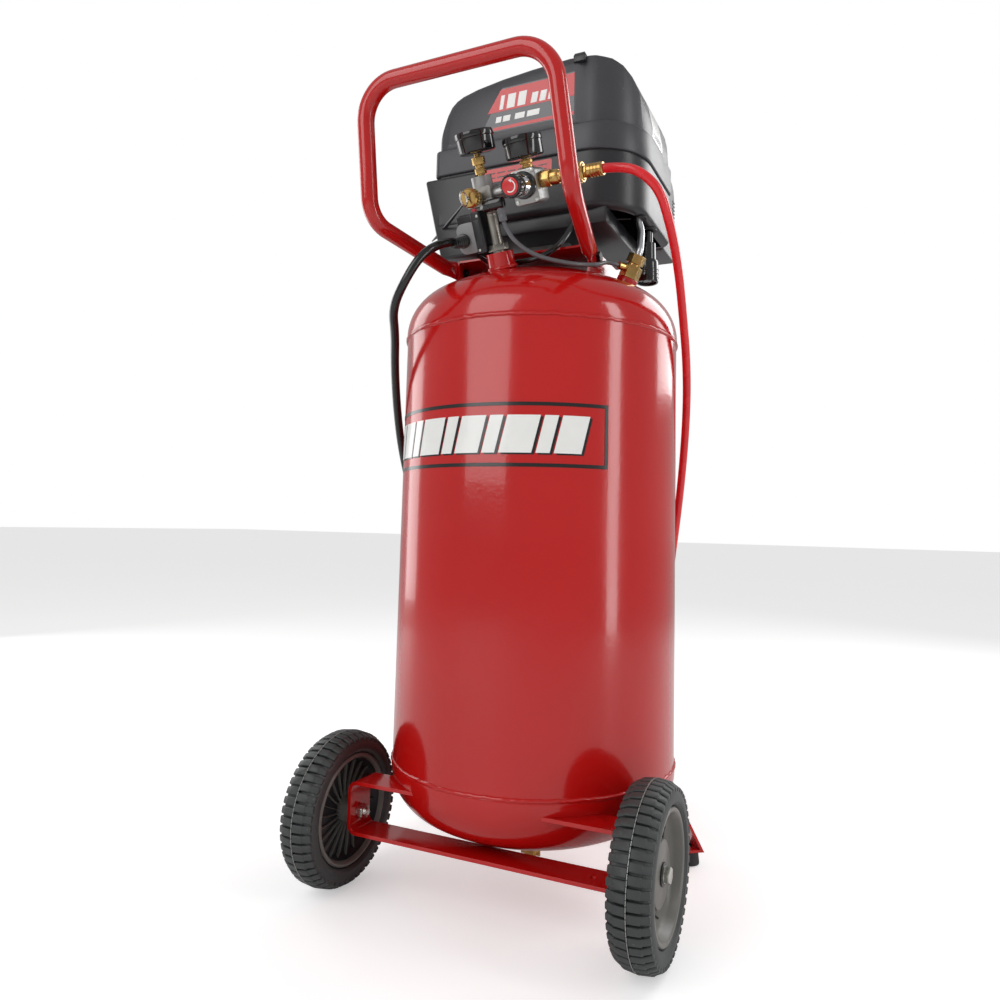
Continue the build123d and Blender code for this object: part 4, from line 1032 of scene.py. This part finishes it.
class MakeGauges(bpy.types.Operator):
    """Adds both gauges: cases, printed dials with numbers, windows and needles"""

    bl_idname = "compressor.gauges"
    bl_label = "Gauges"

    def execute(self, context):
        cases, lenses = solid(), solid()
        dials = solid()
        for u, w in GAUGES.values():
            base = up_at(u, 0, w)
            put(cases, spun([(0, 0), (22.4, 0), (24.2, 0.8), (25.2, 2.4), (25.2, 18.6), (26.2, 19.4),
                             (26.4, 20.4), (26.4, 26.0), (25.8, 27), (24.4, 27), (24.0, 26.4), (24.0, 20.6),
                             (0, 20.6)], 96), base)
            put(cases, disc(6.4, 1.4, 0.4, 32), base @ move(0, 0, -1.2))
            put(lenses, spun([(0, 24.6), (23.9, 24.6), (23.9, 26.0), (0, 26.0)], 72), base)
            put(dials, spun([(1.6, 20.7), (23.8, 20.7), (23.8, 21.9), (1.6, 21.9), (1.6, 20.7)], 72), base)
            for i in range(41):
                a = 225 - 270 * i / 40
                big = i % 5 == 0
                tick = brick((17.4 if big else 19.4, -0.28 if big else -0.16, 21.85),
                             (21.6, 0.28 if big else 0.16, 22.0), 0)
                put(dials, tick, base @ turn(a, "Z"), 1)
            for i in range(9):
                a = math.radians(225 - 270 * i / 8)
                text = bpy.data.curves.new("number", "FONT")
                text.body = str(25 * i)
                text.size = 4.4
                text.align_x = "CENTER"
                text.align_y = "CENTER"
                text.extrude = 0.05
                holder = bpy.data.objects.new("number", text)
                mesh = bpy.data.meshes.new_from_object(holder)
                number = solid()
                number.from_mesh(mesh)
                bpy.data.objects.remove(holder)
                bpy.data.curves.remove(text)
                bpy.data.meshes.remove(mesh)
                bmesh.ops.remove_doubles(number, verts=number.verts, dist=0.0005)
                put(dials, number, base @ move(14.2 * math.cos(a), 14.2 * math.sin(a), 21.95), 1)
        finished("Gauge_Cases", cases, "tank", [gloss_black()], ["gauge_cases"])
        finished("Gauge_Dials", dials, "tank", [label_white(), label_black()],
                 ["gauge_dials"], 20)
        finished("Gauge_Windows", lenses, "tank", [lens_glass()], ["gauge_lenses"])
        for word, (u, w) in GAUGES.items():
            base = up_at(u, 0, w)
            needle = solid()
            put(needle, disc(1.45, 5.4, 0.2, 24), base @ move(0, 0, 18.2), 1)
            put(needle, disc(2.6, 0.9, 0.3, 32), base @ move(0, 0, 22.5))
            pointer = brick((-6, -0.65, 22.6), (18.8, 0.65, 23.3), 0.1, 1)
            for vert in pointer.verts:
                if vert.co.x > 10:
                    vert.co.y *= 0.35
            put(needle, pointer, base @ turn(225, "Z"))
            finished("Needle_" + word.title(), needle, word + "_needle",
                     [label_black(), brass()], ["needle_" + word])
        return {"FINISHED"}


class MakeFittings(bpy.types.Operator):
    """Adds brass nipples, the quick coupler, hose plug, drain, check valve and the air tubes"""

    bl_idname = "compressor.fittings"
    bl_label = "Fittings"

    def execute(self, context):
        shape = solid()
        for (u, w), foot in zip(GAUGES.values(), (120, 114)):
            stem = up_at(u if u else -1.5, 0, foot)
            tall = w - foot
            put(shape, disc(4.4, tall, 0.2, 32), stem)
            put(shape, hexbar(7, tall / 4, 0.6), stem @ move(0, 0, tall / 10))
            put(shape, hexbar(8, tall / 3, 0.7), stem @ move(0, 0, tall / 2))
            put(shape, disc(6, tall / 7, 0.4, 32), stem @ move(0, 0, tall * 0.36))
        outlet = side_at(65, OUTLET_Y, OUTLET_Z)
        put(shape, disc(7.8, 32, 0.5, 32), outlet)
        put(shape, hexbar(10.4, 13, 1.0), outlet @ move(0, 0, 4))
        put(shape, spun([(0, 17), (9.4, 17), (9.9, 18), (9.9, 26), (8.8, 28.4), (0, 28.4)], 48), outlet)
        drain = facing((0, TANK_Y, 55), (1, 0, 0), (0, 0, -1))
        put(shape, disc(5.9, 14, 0.4, 32), drain @ move(0, 0, 3))
        put(shape, hexbar(8, 8, 0.8), drain @ move(0, 0, 10.5))
        put(shape, disc(2.95, 30, 0.4, 24), drain @ move(0, 0, 4))
        finished("Brass_Nipples", shape, "tank", [brass()], ["brass_fittings"])
        dressed("Drain_Knob", "drain_knob", "drain_handle", brass(), 0.6)
        place = side_at(95, OUTLET_Y, OUTLET_Z)
        shape = solid()
        put(shape, hexbar(10.4, 5.8, 0.9), place @ move(0, 0, 2.1))
        put(shape, spun([(6.5, 11), (6.5, 33), (9.4, 33), (10.3, 32), (10.85, 30.5), (10.85, 8), (10, 7),
                         (0, 7), (0, 11), (6.5, 11)], 64), place)
        finished("Coupler_Body", shape, "tank", [brass()], ["coupler_body"])
        shape = solid()
        rings = [(10.96, 14.5), (12.6, 14.5), (13.4, 15.3)]
        for i in range(5):
            z = 16.6 + 2.7 * i
            rings += [(13.45, z), (13.45, z + 1.5), (12.8, z + 1.8), (12.8, z + 2.4)]
        rings += [(13.4, 30.2), (12.6, 31.5), (10.96, 31.5), (10.96, 14.5)]
        put(shape, spun(rings, 64), place)
        finished("Coupler_Sleeve", shape, "quick_sleeve", [brass()], ["coupler_sleeve"])
        shape = solid()
        put(shape, disc(6.3, 20, 0.4, 32), place @ move(0, 0, 14))
        put(shape, hexbar(7.4, 4.4, 0.6), place @ move(0, 0, 33.3))
        ferrule = [(0, 37), (8.2, 37), (8.9, 38)]
        for i in range(4):
            z = 40 + 4.3 * i
            ferrule += [(8.95, z), (8.95, z + 2.4), (8.1, z + 3), (8.1, z + 3.7)]
        ferrule += [(8.8, 57.6), (8.2, 59), (0, 59)]
        put(shape, spun(ferrule, 48), place)
        finished("Hose_Plug", shape, "tank", [brass()], ["hose_plug"])
        dressed("Check_Valve", "check_valve", "tank", brass(), 0.8)
        valve_r = math.hypot(VALVE_X, VALVE_Y - TANK_Y)
        top = SEAM_HIGH + HEAD_FLANGE + HEAD_RISE - HEAD_CROWN + math.sqrt(HEAD_CROWN**2 - valve_r**2)
        valve = facing((VALVE_X, VALVE_Y, top), (0, 1, 0), (0.4295, -0.056, 0.9016))
        tube = [valve @ Vector((0, 0, 37)), valve @ Vector((0, 0, 51)), (155, TANK_Y + 2, 930),
                (132, TANK_Y + 12, 1000), (96, TANK_Y - 2, 1068), (66, TANK_Y - 15, 1102),
                (39, TANK_Y - 15, 1102)]
        shape = solid()
        put(shape, swept(bent_line(tube, [14, 40, 60, 50, 22]), 5.0, 24))
        finished("Transfer_Tube", shape, "tank", [aluminium()], ["transfer_tube"], 60)
        port = valve @ Vector((0, 0, 22))
        away = Vector((-0.62, -0.78, 0.1)).normalized()
        route = [up_at(27, -24, 55.6).translation, (21, TANK_Y - 168, 882), (37, TANK_Y - 158, 864),
                 (58, TANK_Y - 147, 853), (84, TANK_Y - 133, 847), (106, TANK_Y - 110, 848),
                 (120, TANK_Y - 82, 856), port + away * 42, port + away * 23.2]
        thin = flexible("Unloader_Tube", [tuple(p) for p in route], 0.006, tube_grey(),
                        ["unloader_tube"])
        thin.data.resolution_u = 12
        lead = [up_at(-38, 12, 20).translation, (-36, TANK_Y - 104, 867), (-14, TANK_Y - 100, 867),
                (14, TANK_Y - 101, 867), (40, TANK_Y - 102, 869), (62, TANK_Y - 93, 886),
                (70, TANK_Y - 74, 912), (72, TANK_Y - 56, 938), (72, TANK_Y - 40, 956)]
        wire = flexible("Motor_Lead", [tuple(p) for p in lead], 0.008, cord_rubber(),
                        ["motor_lead"])
        wire.data.resolution_u = 12
        shape = solid()
        put(shape, spun([(0, 872), (13.5, 872), (14, 869.4), (16, 869), (16.8, 870.5), (16.8, 900),
                         (15.6, 903), (13, 903.4), (12.4, 930), (8, 931), (8, 953), (0, 953)], 64),
            move(FILTER_X, FILTER_Y, 0))
        for i in range(5):
            a = math.radians(72 * i + 20)
            put(shape, disc(1.7, 1.2, 0.2, 16), move(FILTER_X + 8 * math.cos(a), FILTER_Y + 8 * math.sin(a),
                                                     871.3), 1)
        for z in (876, 882, 888):
            put(shape, spun(arc(16.7, z, 0.7, -90, 90, 4), 64), move(FILTER_X, FILTER_Y, 0))
        finished("Intake_Filter", shape, "tank", [gloss_black(), foot_rubber()],
                 ["intake_filter"])
        return {"FINISHED"}


# ---------------------------------------------------------------- shroud
LEFT, RIGHT, FRONT, BACK = -165.0, 165.0, TANK_Y - 62.0, TANK_Y + 150.0
ROOF = [(-165, 1080), (-145, 1137), (-138, 1150), (-129, 1158), (-118, 1163.5), (-93, 1170), (-50, 1176.5),
        (0, 1181), (60, 1184), (100, 1181.5), (123, 1176), (136, 1168), (146, 1155), (153, 1138), (165, 1080)]


def film(outline, depth, place):
    """A thin flat panel from its corners."""
    part = solid()
    face = part.faces.new([part.verts.new((x, y, 0)) for x, y in outline])
    grown = bmesh.ops.extrude_face_region(part, geom=[face], use_keep_orig=True)
    lifted = [v for v in grown["geom"] if isinstance(v, bmesh.types.BMVert)]
    bmesh.ops.translate(part, vec=(0, 0, depth), verts=lifted)
    bmesh.ops.recalc_face_normals(part, faces=part.faces)
    bmesh.ops.transform(part, matrix=place, verts=part.verts)
    return part


class MakeShroud(bpy.types.Operator):
    """Adds the shroud: its upper shell with a chamfered front panel, belt, skirt, rear cover and latch"""

    bl_idname = "compressor.shroud"
    bl_label = "Shroud"

    def execute(self, context):
        inset = 5.0
        upper = column(LEFT + inset, RIGHT - inset, FRONT + inset, BACK - inset, 1076, 1200,
                       (10, 77, 14, 14), 12)
        for (x0, z0), (x1, z1) in zip(ROOF, ROOF[1:]):
            cut(upper, (x0, 0, z0), Vector((z0 - z1, 0, x1 - x0)).normalized())
        front = [f for f in upper.faces if f.normal.y < -0.98 and f.calc_area() > 2000]
        bmesh.ops.inset_region(upper, faces=front, thickness=11, depth=0, use_even_offset=True)
        bmesh.ops.translate(upper, vec=(0, -PANEL_RAISE, 0), verts=list({v for f in front for v in f.verts}))
        soften(upper, 3.4, 3, 24)
        shape = solid()
        put(shape, upper)
        belt = column(LEFT, RIGHT, FRONT, BACK, BELT_LOW, BELT_HIGH, (11, 82, 16, 16), 12)
        soften(belt, 2.6, 3, 50)
        put(shape, belt)
        groove = column(LEFT + 4, RIGHT - 4, FRONT + 4, BACK - 4, 1030, 1040, (9, 78, 12, 12), 12)
        put(shape, groove, None, 1)
        finished("Shroud_Upper", shape, "tank", [charcoal(), black_moulding()],
                 ["shroud_upper"], 32)

        shape = solid()
        skirt = column(LEFT + 2, RIGHT - 2, FRONT + 2, BACK - 2, SKIRT_LOW, BELT_LOW - 4, (10, 80, 15, 15),
                       12)
        bottom = [e for e in skirt.edges if all(v.co.z < SKIRT_LOW + 1 for v in e.verts)]
        bmesh.ops.bevel(skirt, geom=bottom, offset=15, affect="EDGES", segments=5, profile=0.5, material=-1,
                        clamp_overlap=True)
        for face in [f for f in skirt.faces if abs(f.normal.z) > 0.99 and f.calc_area() > 9000]:
            if face.normal.z < 0:
                bmesh.ops.inset_region(skirt, faces=[face], thickness=3, use_even_offset=True)
            bmesh.ops.delete(skirt, geom=[face], context="FACES_ONLY")
        bmesh.ops.solidify(skirt, geom=skirt.faces[:], thickness=2.4)
        put(shape, skirt)
        box = brick((-180, TANK_Y - 64, 905), (-86, TANK_Y + 60, 1034), 0)
        for vert in box.verts:
            if vert.co.z < 950:
                vert.co.x = -120 + (vert.co.x + 133) * 64 / 94
                vert.co.y = TANK_Y + (vert.co.y - TANK_Y + 2) * 110 / 124
        soften(box, 5, 3)
        put(shape, box)
        pan = brick((-84, TANK_Y - 50, 930), (118, TANK_Y + 126, 956), 4, 2)
        lid = [f for f in pan.faces if f.normal.z > 0.99 and f.calc_area() > 9000]
        bmesh.ops.delete(pan, geom=lid, context="FACES_ONLY")
        bmesh.ops.solidify(pan, geom=pan.faces[:], thickness=2.0)
        put(shape, pan)
        ridge = brick((82, TANK_Y - 20, 946), (92, TANK_Y + 60, 955), 3, 3)
        put(shape, ridge)
        split = bent_line([(70, TANK_Y - 44, 951), (104, TANK_Y - 38, 951), (112, TANK_Y - 4, 951),
                           (138, TANK_Y + 4, 951)], [6, 6])
        put(shape, swept(split, 1.1, 8), None, 1)
        put(shape, spun([(9, 950.4), (14, 950.4), (14, 953), (9, 953), (9, 950.4)], 48),
            move(FILTER_X, FILTER_Y, 0), 1)
        put(shape, disc(9, 2, 0.3), move(152, TANK_Y + 8, 950.2), 1)
        finished("Shroud_Skirt", shape, "tank", [black_moulding(), foot_rubber()],
                 ["shroud_skirt"], 32)

        shape = solid()
        cover = solid()
        side_line = [(-2, 952), (72, 952), (74, 960), (75, 1066), (70, 1080), (58, 1090), (34, 1096),
                     (22, 1136), (16, 1143), (-2, 1144)]
        flank = cover.faces.new([cover.verts.new((-150, BACK + 0.2 + y, z)) for y, z in side_line])
        grown = bmesh.ops.extrude_face_region(cover, geom=[flank], use_keep_orig=True)
        moved = [v for v in grown["geom"] if isinstance(v, bmesh.types.BMVert)]
        bmesh.ops.translate(cover, vec=(300, 0, 0), verts=moved)
        bmesh.ops.recalc_face_normals(cover, faces=cover.faces)
        soften(cover, 4, 3, 25)
        put(shape, cover)
        for i in range(15):
            z = 968 + 6.6 * i
            for x0, x1 in ((-128, -6), (6, 128)):
                put(shape, brick((x0, BACK + 72, z), (x1, BACK + 75.1, z + 3.2), 0.6, 1), None, 1)
        for i in range(14):
            put(shape, brick((149, BACK + 60, 972 + 6.6 * i), (150.9, BACK + 73, 975 + 6.6 * i), 0.4, 1),
                None, 1)
        finished("Rear_Cover", shape, "tank", [charcoal(), black_moulding()],
                 ["rear_cover"], 32)

        shape = solid()
        put(shape, brick((68.5, FRONT - 2.6, 1172.4), (87.5, FRONT + 6, 1183.6), 1.4, 2))
        put(shape, brick((70.5, FRONT + 0.6, 1179), (85.5, FRONT + 10.6, 1186.8), 1.2, 2))
        put(shape, disc(1.8, 16, 0.5, 20), side_at(70, FRONT - 0.4, 1184))
        finished("Shroud_Latch", shape, "tank", [black_moulding()], ["shroud_latch"])
        return {"FINISHED"}


class MakeShroudLabels(bpy.types.Operator):
    """Adds the shroud's plain banded panels"""

    bl_idname = "compressor.labels"
    bl_label = "Shroud labels"

    def execute(self, context):
        shape = solid()
        face_y = FRONT + 5 - PANEL_RAISE
        panel = facing((0, face_y, 0), (1, 0, 0), (0, -1, 0))

        def flat(outline, material, lift):
            put(shape, film(outline, lift, panel), None, material)

        flat([(-82, 1092), (70, 1092), (70, 1160), (-48, 1160)], 2, 0.25)
        flat([(-72, 1123), (70, 1123), (70, 1158), (-50, 1158)], 1, 0.4)
        flat([(-80, 1094), (70, 1094), (70, 1099), (-76, 1099)], 1, 0.4)
        for x, wide, tall in ((-52, 6, 22), (-40, 13, 22), (-22, 13, 22), (0, 10, 16), (14, 10, 16),
                              (28, 5, 16)):
            low = 1126
            flat([(x, low), (x + wide, low), (x + wide + 3, low + tall), (x + 3, low + tall)], 3, 0.6)
        for x, wide in ((-58, 9), (-46, 12), (-26, 16), (-6, 20)):
            flat([(x, 1106), (x + wide, 1106), (x + wide + 1.4, 1115), (x + 1.4, 1115)], 3, 0.5)
        lower = facing((0, FRONT + 2, 0), (1, 0, 0), (0, -1, 0))
        put(shape, film([(-80, 1013), (34, 1013), (36, 1015), (36, 1032), (34, 1034), (-80, 1034)], 0.35,
                        lower), None, 1)
        for row in (1019, 1026):
            for i in range(6):
                x = -70 + 17 * i
                put(shape, film([(x, row), (x + 13, row), (x + 13, row + 1.6), (x, row + 1.6)], 0.6, lower),
                    None, 0)
        finished("Shroud_Labels", shape, "tank",
                 [label_black(), label_red(), label_grey(), label_white()], (), 30)
        white = solid()
        side_view = facing((0, TANK_Y + 96, 0), (1, 0, 0), (0, -1, 0))
        edge = [(160.1, 1090), (160.1, 1104.5), (153.1, 1138.5), (147.4, 1152)]
        outline = [(x - 1, z) for x, z in edge] + [(x + 0.35, z) for x, z in edge[::-1]]
        put(white, film(outline, 58, side_view))
        for i in range(6):
            z = 1094 + 1.6 * i
            put(white, film([(160, z), (160.7, z), (160.7, z + 0.8), (160, z + 0.8)], 44 - 6 * (i % 3),
                            facing((0, TANK_Y + 88, 0), (1, 0, 0), (0, -1, 0))), None, 1)
        finished("Side_Label", white, "tank", [label_white(), label_grey()], (), 30)
        return {"FINISHED"}


class MakePump(bpy.types.Operator):
    """Dresses the pump and motor under the shroud"""

    bl_idname = "compressor.pump"
    bl_label = "Pump and motor"

    def execute(self, context):
        steel = pipe_steel()
        core = finish("Motor_Core", linear(90, 70, 60), 0.5, 0.7, patch=40, shade=0.2, grain=900,
                      depth=0.0003, stretch=(1, 6, 1))
        looks = {
            "pump_frame": cast_aluminium(), "pump_cylinder": cast_aluminium(),
            "cylinder_head": cast_aluminium(), "piston_rod": cast_aluminium(), "motor_stator": core,
            "motor_rotor": steel, "shaft_bearings": steel, "cooling_fan": black_moulding(),
        }
        for node, material in looks.items():
            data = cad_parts[node].data
            data.materials.clear()
            data.materials.append(material)
        return {"FINISHED"}


class MakeStage(bpy.types.Operator):
    """Adds a pale floor, soft lights and a white surround"""

    bl_idname = "compressor.stage"
    bl_label = "Stage"

    def execute(self, context):
        floor = solid()
        bmesh.ops.create_grid(floor, x_segments=2, y_segments=2, size=30,
                              matrix=Matrix.Translation((0, 0, -0.0008)))
        mesh = bpy.data.meshes.new("Floor")
        floor.to_mesh(mesh)
        floor.free()
        ground = bpy.data.objects.new("Floor", mesh)
        context.scene.collection.objects.link(ground)
        pale = finish("Floor_Pale", (0.86, 0.86, 0.86), 0.6, patch=1, shade=0.01, spread=0.05)
        shader = pale.node_tree.nodes["Principled BSDF"]
        shader.inputs["Emission Color"].default_value = (1, 1, 1, 1)
        seen = pale.node_tree.nodes.new("ShaderNodeLightPath")
        lift = pale.node_tree.nodes.new("ShaderNodeMath")
        lift.operation = "MULTIPLY"
        lift.inputs[1].default_value = 0.42
        pale.node_tree.links.new(seen.outputs["Is Camera Ray"], lift.inputs[0])
        pale.node_tree.links.new(lift.outputs["Value"], shader.inputs["Emission Strength"])
        mesh.materials.append(pale)
        world = bpy.data.worlds.new("Studio")
        world.use_nodes = True
        tree = world.node_tree
        tree.nodes["Background"].inputs["Color"].default_value = (1, 1, 1, 1)
        ray = tree.nodes.new("ShaderNodeLightPath")
        power = tree.nodes.new("ShaderNodeMapRange")
        power.inputs["To Min"].default_value = 0.42
        power.inputs["To Max"].default_value = 1.0
        tree.links.new(ray.outputs["Is Camera Ray"], power.inputs["Value"])
        tree.links.new(power.outputs["Result"], tree.nodes["Background"].inputs["Strength"])
        context.scene.world = world
        lights = (
            ("Key", (-0.9, -2.6, 1.9), (0, 0, 0.6), 2.0, 2.6, 38),
            ("Fill", (2.7, -0.3, 1.2), (0, 0, 0.6), 0.5, 2.6, 20),
            ("Rim", (1.4, 2.2, 1.9), (0, 0, 0.7), 1.6, 1.6, 30), ("Left", (-2.6, 0.4, 1.2), (0, 0, 0.6),
                                                                  1.0, 2.2, 16), )
        for name, spot, aim, wide, tall, power in lights:
            data = bpy.data.lights.new(name, "AREA")
            data.shape = "RECTANGLE"
            data.size = wide
            data.size_y = tall
            data.energy = power
            lamp = bpy.data.objects.new(name, data)
            lamp.location = spot
            lamp.rotation_mode = "QUATERNION"
            lamp.rotation_quaternion = (Vector(aim) - Vector(spot)).to_track_quat("-Z", "Y")
            context.scene.collection.objects.link(lamp)
        context.scene.view_settings.view_transform = "Standard"
        return {"FINISHED"}


class CompressorPanel(bpy.types.Panel):
    """Lists the compressor's settings and pieces"""

    bl_idname = "VIEW3D_PT_compressor"
    bl_label = "Air Compressor"
    bl_space_type = "VIEW_3D"
    bl_region_type = "UI"
    bl_category = "Compressor"

    def draw(self, context):
        for group in (context.scene.compressor_finish, context.scene.compressor_sizes):
            for name in group.__annotations__:
                self.layout.prop(group, name)
        for step in STEPS:
            self.layout.operator(step.bl_idname)


STEPS = (
    MakeCamera, MakeHose, MakeCord, MakeTank, MakeTankLabel, MakeWheels, MakeFrame, MakeControls,
    MakeRegulator, MakeGauges, MakeFittings, MakeShroud, MakeShroudLabels, MakePump, MakeStage,
)
CLASSES = (CompressorFinish, CompressorSizes, *STEPS, CompressorPanel)


def register():
    for item in CLASSES:
        bpy.utils.register_class(item)
    bpy.types.Scene.compressor_finish = bpy.props.PointerProperty(type=CompressorFinish)
    bpy.types.Scene.compressor_sizes = bpy.props.PointerProperty(type=CompressorSizes)


def unregister():
    del bpy.types.Scene.compressor_sizes
    del bpy.types.Scene.compressor_finish
    for item in reversed(CLASSES):
        bpy.utils.unregister_class(item)


def main():
    """Builds every piece in order."""
    register()
    for step in STEPS:
        getattr(bpy.ops.compressor, step.bl_idname.split(".")[1])()


if __name__ == "__main__":
    main()
